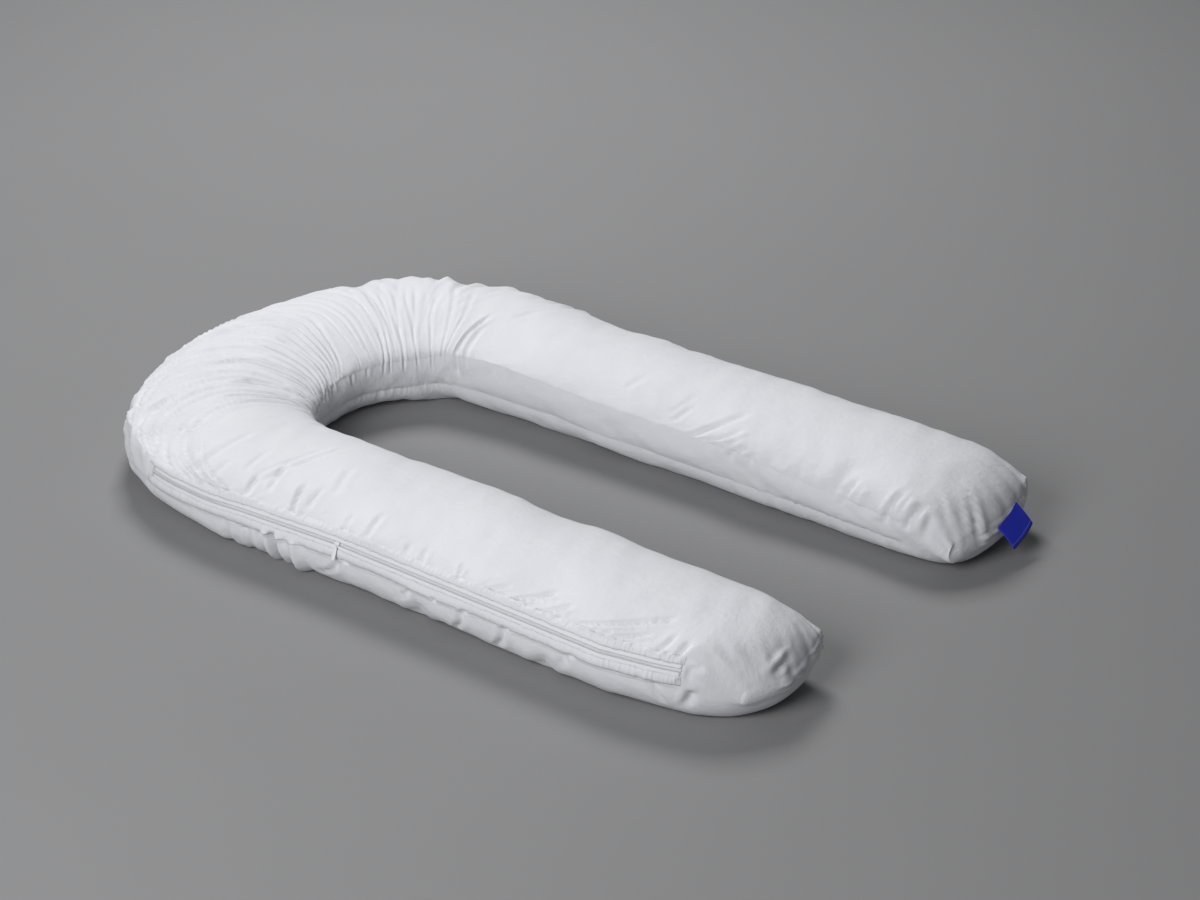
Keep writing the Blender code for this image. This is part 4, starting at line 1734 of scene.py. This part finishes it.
    def mark_seams(self, mesh: bpy.types.Mesh, around: int) -> None:
        """Keep the shading crisp where two panels meet.

        Args:
            mesh: the cover's mesh.
            around: points in each ring.
        """
        seams = {int(np.argmin(np.abs(self.turns - seam))) for seam in SEAM_TURNS}
        ends = np.zeros(2 * len(mesh.edges), dtype=np.int32)
        mesh.edges.foreach_get("vertices", ends)
        ends = ends.reshape(-1, 2)
        rings = len(self.places) * around
        column = ends % around
        same = (ends < rings).all(axis=1) & (column[:, 0] == column[:, 1])
        ring = ends[:, 0] // around
        place = self.places[np.minimum(ring, len(self.places) - 1)]
        open_run = self.form.closing(place) < self.crisp_until
        over_zip = (column[:, 0] == int(np.argmin(np.abs(self.turns - 1.0)))) & (
            place < self.drape.zip_clear[1])
        sharp = same & open_run & ~over_zip & np.isin(column[:, 0], list(seams))
        layer = mesh.attributes.new("sharp_edge", "BOOLEAN", "EDGE")
        layer.data.foreach_set("value", sharp)

    def wall_point(self, turn: float, share: float) -> Array:
        """Return a point of the far arm's plain end wall; share runs up from its low seam.

        Args:
            turn: its turn.
            share: how far up it is.

        Returns:
            The point.
        """
        place = np.array([self.form.total])
        across = np.sign(turn) * abs(math.sin(turn * math.pi / 2)) ** self.form.shoulder_power
        top = self.form.top(place, np.array([turn]))[0]
        low = self.form.under(place, np.array([across]))[0]
        point = low + (top - low) * share
        point[0] += self.form.strip_bulge * 4.0 * share * (1.0 - share)
        return point


@dataclass
class Ribbon:
    """A thin closed sheet over a grid of points."""

    grid: Array
    thickness: float

    def outward(self) -> Array:
        """Return the direction square to the grid at each point.

        Returns:
            Unit directions.
        """
        rows = np.gradient(self.grid, axis=0)
        columns = np.gradient(self.grid, axis=1)
        normals = np.cross(rows, columns)
        return normals / np.linalg.norm(normals, axis=2)[:, :, None]

    def shell(self) -> tuple[Array, Faces, Array]:
        """Return the sheet's points, faces and a coordinate for each face's corner.

        Returns:
            The points, faces and coordinates.
        """
        rows, columns = self.grid.shape[:2]
        lift = self.outward() * self.thickness / 2
        points = np.vstack(((self.grid + lift).reshape(-1, 3),
                            (self.grid - lift).reshape(-1, 3)))
        down = np.linalg.norm(np.diff(self.grid, axis=0), axis=2).mean(axis=1)
        across = np.linalg.norm(np.diff(self.grid, axis=1), axis=2).mean(axis=0)
        v = np.concatenate(([0.0], np.cumsum(down)))
        u = np.concatenate(([0.0], np.cumsum(across)))
        back = rows * columns
        faces: Faces = []
        for r in range(rows - 1):
            for c in range(columns - 1):
                a = r * columns + c
                front = (a, a + columns, a + columns + 1, a + 1)
                faces.append(front)
                faces.append(tuple(back + k for k in front[::-1]))
        edge = [*range(columns),
                *(r * columns + columns - 1 for r in range(1, rows)),
                *((rows - 1) * columns + c for c in range(columns - 2, -1, -1)),
                *(r * columns for r in range(rows - 2, 0, -1))]
        for a, b in zip(edge, edge[1:] + edge[:1]):
            faces.append((a, b, back + b, back + a))
        uvs = [(u[(k % back) % columns], v[(k % back) // columns])
               for face in faces for k in face]
        return points, faces, np.array(uvs)


@dataclass
class Strands:
    """Many short closed bars joined in one mesh.

    profile gives the sections of a bar as (where along its half length, share of radius).
    """

    sides: int
    profile: Line
    points: list[Array] = field(default_factory=list)
    faces: Faces = field(default_factory=list)

    def add(self, centre: Array, reach: Array, width: Array, height: Array) -> None:
        """Add a bar round a centre, with its half length and the radii of its section.

        Args:
            centre: its middle.
            reach: from there to its end.
            width: one radius.
            height: the other radius.
        """
        base = sum(len(part) for part in self.points)
        angle = np.linspace(0.0, 2 * math.pi, self.sides, endpoint=False)
        rings = [centre + reach * at + share * (
            np.cos(angle)[:, None] * width + np.sin(angle)[:, None] * height)
            for at, share in self.profile]
        self.points.append(np.vstack(rings))
        count = self.sides
        turned = np.dot(np.cross(width, height), reach) > 0.0
        made = []
        for ring in range(len(self.profile) - 1):
            for k in range(count):
                a, b = ring * count + k, ring * count + (k + 1) % count
                made.append((a, b, b + count, a + count))
        made.append(tuple(range(count))[::-1])
        made.append(tuple((len(self.profile) - 1) * count + k for k in range(count)))
        self.faces += [tuple(base + k for k in (face if turned else face[::-1]))
                       for face in made]

    def shell(self) -> tuple[Array, Faces, Array]:
        """Return the bars' points, faces and coordinates.

        Returns:
            The points, faces and coordinates.
        """
        points = np.vstack(self.points)
        uvs = np.array([(points[k, 0], points[k, 2]) for face in self.faces for k in face])
        return points, self.faces, uvs


# Sections of the small bars: where along the half length, and the share of the radius.
TOOTH_SECTIONS = ((-1.0, 0.55), (-0.8, 1.0), (0.55, 1.0), (0.8, 0.5))
STITCH_SECTIONS = ((-1.0, 0.3), (-0.55, 1.0), (0.55, 1.0), (1.0, 0.3))
SLIDER_SECTIONS = ((-1.0, 0.5), (-0.85, 0.82), (-0.4, 1.0), (0.5, 1.0), (0.9, 0.85),
                   (1.0, 0.5))


@dataclass
class Zip:
    """The closed coil zip in the near arm's side strip, with its stitching and slider."""

    form: PillowForm
    maker: PieceMaker
    start: float = 0.106
    stop: float = 1.163
    step: float = 0.0045
    coil_half: float = 0.0022
    coil_gap: float = 0.0008
    gap: float = 0.0004
    tape_thickness: float = 0.0006
    tape_columns: int = 9
    tape_inset: float = 0.0004          # from the bed's edge
    tape_waves: Point = (0.047, 0.00015)  # their pitch and depth
    coil_lift: Triple = (0.0007, 0.02, 0.10)  # beside the coil: height, share and width
    seed: int = 70
    tooth_pitch: float = 0.0016
    tooth_radius: float = 0.00082
    tooth_rise: float = 0.0012
    stitch_pitch: float = 0.0034
    stitch_length: float = 0.0024
    stitch_radius: float = 0.00030
    stitch_inset: float = 0.0078  # in from the tape's outer edge
    stitch_margin: float = 0.004  # from either end of the zip
    stitch_lean: float = 0.10
    tooth_sides: int = 6
    stitch_sides: int = 5
    slider_sides: int = 12
    slider_place: float = 0.792
    slider_half: Triple = (0.0054, 0.0036, 0.0016)  # along, up, out
    pull_half: Triple = (0.0042, 0.0120, 0.0006)    # along, up, out
    slider_lift: float = 0.0002
    pull_top: float = 0.0050  # how far below the coil's middle the pull begins

    def bed(self, places: Array) -> tuple[Array, ...]:
        """Return the zip's middle line, its two directions and its half width.

        Args:
            places: where to work it out.

        Returns:
            The four, at each place.
        """
        high, _, _ = self.form.outer_strip(places, self.form.zip_shares[1])
        low, _, _ = self.form.outer_strip(places, self.form.zip_shares[0])
        middle = (high + low) / 2
        half = np.linalg.norm(high - low, axis=1) / 2
        up = (high - low) / (2 * half)[:, None]
        out = np.cross(np.gradient(middle, axis=0), up)
        out /= np.linalg.norm(out, axis=1)[:, None]
        out *= -np.sign(out[0, 1])
        return middle, up, out, half

    def tape(self, side: int) -> Piece:
        """Build the upper (1) or the lower (-1) tape, a little wavy and rolled at its edge.

        Args:
            side: 1 or -1.

        Returns:
            The piece.
        """
        places = np.arange(self.start, self.stop, self.step)
        middle, up, out, half = self.bed(places)
        dice = np.random.default_rng(self.seed + 1 + side)
        grid = []
        pitch, waviness = self.tape_waves
        lift, at, width = self.coil_lift
        for share in np.linspace(0.0, 1.0, self.tape_columns):
            rise = self.coil_half + self.coil_gap
            rise = side * (rise + (half - self.tape_inset - rise) * share)
            wave = np.sin(places * 2 * math.pi / pitch + dice.uniform(0, 6))
            beside_coil = lift * math.exp(-((share - at) / width) ** 2)
            depth = self.gap + self.tape_thickness / 2 + beside_coil
            depth = depth + waviness * (1 + wave) * share * (1 - share) * 4
            grid.append(middle + up * np.atleast_1d(rise)[:, None]
                        + out * np.atleast_1d(depth)[:, None])
        grid = np.stack(grid, axis=1)
        ribbon = Ribbon(grid if side < 0 else grid[:, ::-1], self.tape_thickness)
        name = "zip_tape_upper" if side > 0 else "zip_tape_lower"
        width = float(half.mean()) - self.coil_half
        # Where the painted shade of the gap beside the coil lies across the tape, in metres.
        painted_shade_at = width - self.coil_gap if side > 0 else 0.0
        item = self.maker.make(name.replace("zip_tape", "woven_tape"), *ribbon.shell(),
                               replace(ZIP_WEAVE, line_at=painted_shade_at).build())
        self.maker.hang(item, "zip_tape", name)
        return item

    def coil(self) -> Piece:
        """Build the closed coil: teeth that reach across from each side in turn.

        Returns:
            The piece.
        """
        places = np.arange(self.start, self.stop, self.tooth_pitch)
        middle, up, out, _ = self.bed(places)
        along = np.cross(up, out)
        bars = Strands(self.tooth_sides, TOOTH_SECTIONS)
        for number, (point, rise, depth, run) in enumerate(zip(middle, up, out, along)):
            side = 1.0 if number % 2 else -1.0
            centre = point + depth * (self.gap + self.tooth_rise / 2)
            bars.add(centre, rise * side * self.coil_half, run * self.tooth_radius,
                     depth * self.tooth_rise / 2)
        item = self.maker.make("zip_coil", *bars.shell(), COIL.build())
        return self.maker.hang(item, "zip_coil", "zip_chain")

    def stitches(self) -> Piece:
        """Sew a line of stitches along the middle of each tape.

        Returns:
            The piece.
        """
        thread = Strands(self.stitch_sides, STITCH_SECTIONS)
        dice = np.random.default_rng(self.seed + 3)
        margin = self.stitch_margin
        places = np.arange(self.start + margin, self.stop - margin, self.stitch_pitch)
        middle, up, out, half = self.bed(places)
        along = np.cross(up, out)
        over = self.gap + self.tape_thickness + self.stitch_radius
        for side in (-1.0, 1.0):
            for point, rise, depth, run, reach in zip(middle, up, out, along, half):
                centre = point + rise * side * (reach - self.stitch_inset) + depth * over
                lean = run + rise * dice.uniform(-self.stitch_lean, self.stitch_lean)
                thread.add(centre, lean * self.stitch_length / 2,
                           rise * self.stitch_radius, depth * self.stitch_radius)
        item = self.maker.make("zip_stitches", *thread.shell(), THREAD.build())
        return self.maker.hang(item, "zip_tape")

    def slider(self) -> Piece:
        """Build the slider over the coil, its pull hanging down over the lower tape.

        Returns:
            The piece.
        """
        places = self.slider_place + np.array((-self.step, 0.0, self.step))
        middle, up, out, _ = self.bed(places)
        point, rise, depth = middle[1], up[1], out[1]
        run = np.cross(rise, depth)
        parts = Strands(self.slider_sides, SLIDER_SECTIONS)
        along, tall, thick = self.slider_half
        over = self.gap + self.tooth_rise + self.slider_lift
        parts.add(point + depth * (over + thick), run * along, rise * tall, depth * thick)
        wide, drop, thin = self.pull_half
        hang = depth * (over + 2 * thick + thin) - rise * (self.pull_top + drop)
        parts.add(point + hang, -rise * drop, run * wide, depth * thin)
        item = self.maker.make("zip_slider", *parts.shell(), SLIDER.build())
        return self.maker.hang(item, "zip_coil")

    def build(self) -> None:
        """Build the tapes, the coil, the stitching and the slider."""
        self.tape(1)
        self.tape(-1)
        self.coil()
        self.stitches()
        self.slider()


@dataclass
class Welt:
    """The folded edge of the cover's cloth that laps over one of the zip's tapes.

    turns holds its outer and its inner edge. The cloth is eased in, so that the welt is
    drawn into short uneven ticks all along.
    """

    name: str
    turns: Point
    cover: Cover
    maker: PieceMaker
    seed: int
    start: float = 0.103
    stop: float = 1.168
    step: float = 0.0013
    thickness: float = 0.0003
    arch: Line = ((0.00, 0.0002), (0.12, 0.0007), (0.28, 0.0016),
                               (0.48, 0.0024), (0.70, 0.0027), (0.88, 0.0023),
                               (1.00, 0.0017))  # share of the width and height over the bed
    swell: Line = ((0.0, 0.0), (0.3, 0.8), (0.8, 1.0), (1.0, 0.5))
    tick_pitch: Point = (0.0050, 0.0110)
    tick_width: Point = (0.0012, 0.0026)
    tick_height: float = 0.0018
    edge_wander: float = 0.030  # how far the inner edge strays, in turns
    ease: float = 0.010
    tick_lean: float = 0.0022
    tick_strength: Point = (0.2, 1.0)
    tick_peak: float = 1.5
    wander_pitches: Triple = (0.031, 0.053, 0.113)
    wander_shares: Point = (0.5, 0.5)  # of the wander that is smooth, and that follows ticks

    def lines(self, places: Array, turns: Array) -> Array:
        """Return points of the settled cover at each place and turn.

        Args:
            places: their places.
            turns: their turns.

        Returns:
            The points.
        """
        cover = self.cover
        last = int(np.argmax(cover.turns))
        column = np.interp(turns, cover.turns[:last + 1], np.arange(last + 1))
        row = np.interp(places, cover.places, np.arange(len(cover.places)))
        i = np.minimum(row.astype(int), len(cover.places) - 2)
        j = np.minimum(column.astype(int), last - 1)
        down, across = (row - i)[..., None], (column - j)[..., None]
        grid = cover.grid
        upper = grid[i, j] * (1 - across) + grid[i, j + 1] * across
        lower = grid[i + 1, j] * (1 - across) + grid[i + 1, j + 1] * across
        return upper * (1 - down) + lower * down

    def ticks(self, places: Array, shares: Array) -> Array:
        """Return how strongly the cloth is drawn up at each point, from 0 to 1.

        Args:
            places: the points' places.
            shares: how far across the welt they are.

        Returns:
            Their strengths.
        """
        dice = np.random.default_rng(self.seed)
        strength = np.zeros(np.broadcast(places, shares).shape)
        at = self.start
        while at < self.stop:
            width = dice.uniform(*self.tick_width)
            lean = dice.uniform(-self.tick_lean, self.tick_lean)
            offset = np.abs(places - at - lean * (shares - 0.5)) / width
            strength += dice.uniform(*self.tick_strength) * np.exp(-offset**self.tick_peak)
            at += dice.uniform(*self.tick_pitch)
        return strength

    def build(self) -> Piece:
        """Build the welt over the cover's edge and hang it on the frame.

        Returns:
            The piece.
        """
        places = np.arange(self.start, self.stop, self.step)[:, None]
        shares = np.array([share for share, _ in self.arch])[None]
        dice = np.random.default_rng(self.seed + 1)
        wander = sum(np.sin(places * 2 * math.pi / pitch + dice.uniform(0, 6))
                     for pitch in self.wander_pitches) / len(self.wander_pitches)
        ticks = self.ticks(places, shares)
        outer, inner = self.turns
        smooth, sharp = self.wander_shares
        reach = inner + np.sign(inner - outer) * self.edge_wander * (
            smooth * wander + sharp * ticks[:, -1:])
        turns = outer + (reach - outer) * shares
        whole = np.broadcast_to(places, turns.shape)
        base = self.lines(whole, turns)
        normal = Ribbon(base, 0.0).outward()
        normal *= -np.sign(normal[:, :, 1:2].mean())
        ends = come_and_go(places, self.start, self.stop, self.ease)
        arch = np.array([height for _, height in self.arch])[None]
        height = arch + self.tick_height * ticks * np.interp(shares, *zip(*self.swell))
        height = height * ends + self.thickness * (1.0 - ends)
        grid = base + normal * height[:, :, None]
        item = self.maker.make(self.name, *Ribbon(grid, self.thickness).shell(),
                               COTTON.build())
        self.maker.hang(item, "cover_cotton")
        width = float(np.linalg.norm(np.diff(base, axis=1), axis=2).sum(axis=1).mean())
        return item


UPPER_WELT_TURNS = (0.900, 1.180)
LOWER_WELT_TURNS = (1.860, 1.550)


@dataclass
class Label:
    """The bare woven label, folded double and sewn into the far arm's end seam."""

    cover: Cover
    maker: PieceMaker
    root_turns: Point = (-0.078, 0.286)
    root_shares: Point = (0.65, 0.92)
    root_gap: float = 0.0012
    length: float = 0.044
    droop: float = math.radians(44)
    curl: float = math.radians(14)
    skew: float = 0.06
    thickness: float = 0.0005
    layer_gap: float = 0.0007
    columns: int = 22
    rows: int = 22
    ripple: float = 0.0009
    ripple_waves: Triple = (5.2, 2.0, 0.6)  # across, along and at its corner, in radians
    bow: float = 0.0016
    lift: float = 0.0006
    fold_power: int = 8       # how late the two layers close to the fold
    fold_reach: float = 0.25  # how far the fold stands past the last row, in rows

    def face(self) -> Array:
        """Return the label's middle surface, from its root outwards.

        Returns:
            A grid of points, row by row.
        """
        lines = []
        for share in np.linspace(0.0, 1.0, self.columns):
            turn = self.root_turns[0] + share * (self.root_turns[1] - self.root_turns[0])
            rise = self.root_shares[0] + share * (self.root_shares[1] - self.root_shares[0])
            line = [self.cover.wall_point(turn, rise) + (self.root_gap, 0.0, 0.0)]
            for row in range(self.rows):
                angle = self.droop + self.curl * (row / (self.rows - 1) - 0.5)
                step = np.array((math.cos(angle), self.skew, -math.sin(angle)))
                line.append(line[-1] + step * self.length / self.rows)
            lines.append(line)
        return np.array(lines).transpose(1, 0, 2)

    def build(self) -> Piece:
        """Build the doubled label and hang it on the frame.

        Returns:
            The piece.
        """
        face = self.face()
        normal = Ribbon(face, 0.0).outward()
        normal *= np.sign(normal[0, 0, 2])
        along = np.linspace(0.0, 1.0, len(face))[:, None]
        across = np.linspace(0.0, 1.0, self.columns)[None]
        width_rate, length_rate, phase = self.ripple_waves
        wave = self.ripple * along * np.sin(across * width_rate + along * length_rate + phase)
        bow = self.bow * along**2 * (1 - (2 * across - 1) ** 2)
        face = face + normal * (wave + bow + self.lift)[:, :, None]
        open_share = np.clip(1.0 - along**self.fold_power, 0.0, 1.0)
        apart = self.layer_gap * np.sqrt(open_share)
        front = face + normal * apart[:, :, None] / 2
        back = face - normal * apart[:, :, None] / 2
        turn = face[-1:] + (face[-1:] - face[-2:-1]) * self.fold_reach
        loop = np.concatenate((front[:-1], turn, back[:-1][::-1]), axis=0)
        item = self.maker.make("woven_label", *Ribbon(loop, self.thickness).shell(),
                               LABEL_WEAVE.build())
        self.maker.hang(item, "label_weave", "label")
        width = float(np.linalg.norm(np.diff(face[0], axis=0), axis=1).sum())
        return item


@dataclass(frozen=True)
class SoftLight:
    """A square soft light that faces the middle of the floor."""

    name: str
    place: Triple
    size: float
    power: float

    def hang(self) -> None:
        """Hang the light."""
        data = bpy.data.lights.new(self.name, "AREA")
        data.shape = "SQUARE"
        data.size = self.size
        data.energy = self.power
        place = Vector(self.place)
        item = bpy.data.objects.new(self.name, data)
        item.location = place
        item.rotation_euler = (-place).to_track_quat("-Z", "Y").to_euler()
        bpy.context.scene.collection.objects.link(item)


KEY_LIGHT = SoftLight("key_light", (-2.0, 1.9, 3.3), size=1.4, power=116.0)
FILL_LIGHT = SoftLight("fill_light", (0.3, -3.8, 2.5), size=2.4, power=132.0)


@dataclass(frozen=True)
class Studio:
    """Plain grey floor, one large soft light, a fill and the camera."""

    floor_size: float = 14.0
    floor_drop: float = 0.0005    # below the pillow
    floor_dark: Colour = (0.250, 0.250, 0.254)
    floor_light: Colour = (0.266, 0.266, 0.270)
    floor_roughness: float = 0.85
    sky: Colour = (0.95, 0.97, 1.0)
    sky_strength: float = 0.11
    target: Triple = (0.0567, 0.0961, 0.070)
    azimuth: float = math.radians(37.24)
    elevation: float = math.radians(27.92)
    distance: float = 5.763
    lens: float = 100.0
    sensor: float = 36.0

    def floor(self) -> Piece:
        """Lay the floor just under the pillow.

        Returns:
            The floor.
        """
        sheet = NodeSheet("studio_floor")
        noise = sheet.add("TexNoise", Scale=5.0, Detail=5.0, Roughness=0.6)
        shade = sheet.spread(noise.outputs["Fac"], self.floor_dark, self.floor_light)
        sheet.link(shade, sheet.shader.inputs["Base Color"])
        sheet.settings(Roughness=self.floor_roughness)
        half = self.floor_size / 2
        mesh = bpy.data.meshes.new("studio_floor")
        corners = [(x * half, y * half, -self.floor_drop)
                   for x, y in ((-1, -1), (1, -1), (1, 1), (-1, 1))]
        mesh.from_pydata(corners, [], [(0, 1, 2, 3)])
        mesh.materials.append(sheet.material)
        item = bpy.data.objects.new("studio_floor", mesh)
        bpy.context.scene.collection.objects.link(item)
        return item

    def camera(self) -> None:
        """Set up the camera."""
        back = Vector((math.sin(self.azimuth) * math.cos(self.elevation),
                       -math.cos(self.azimuth) * math.cos(self.elevation),
                       math.sin(self.elevation)))
        data = bpy.data.cameras.new("camera")
        data.lens = self.lens
        data.sensor_width = self.sensor
        item = bpy.data.objects.new("camera", data)
        item.location = Vector(self.target) + back * self.distance
        item.rotation_euler = back.to_track_quat("Z", "Y").to_euler()
        bpy.context.scene.collection.objects.link(item)
        bpy.context.scene.camera = item

    def build(self) -> None:
        """Build the studio."""
        self.floor()
        KEY_LIGHT.hang()
        FILL_LIGHT.hang()
        world = bpy.data.worlds.new("studio")
        bpy.context.scene.world = world
        world.use_nodes = True
        background = world.node_tree.nodes["Background"]
        background.inputs["Color"].default_value = (*self.sky, 1.0)
        background.inputs["Strength"].default_value = self.sky_strength
        bpy.context.scene.view_settings.view_transform = "Standard"
        self.camera()


def main() -> None:
    """Build and dress every sub-assembly in order."""
    logging.basicConfig(level=logging.INFO, format="%(name)s %(message)s")
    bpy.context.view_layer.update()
    form = PillowForm()
    maker = PieceMaker()
    cover = Cover(form, Drape(), Settling(), maker)
    cover.build()
    Zip(form, maker).build()
    Welt("upper_welt", UPPER_WELT_TURNS, cover, maker, seed=81).build()
    Welt("lower_welt", LOWER_WELT_TURNS, cover, maker, seed=84).build()
    Label(cover, maker).build()
    Studio().build()


if __name__ == "__main__":
    main()
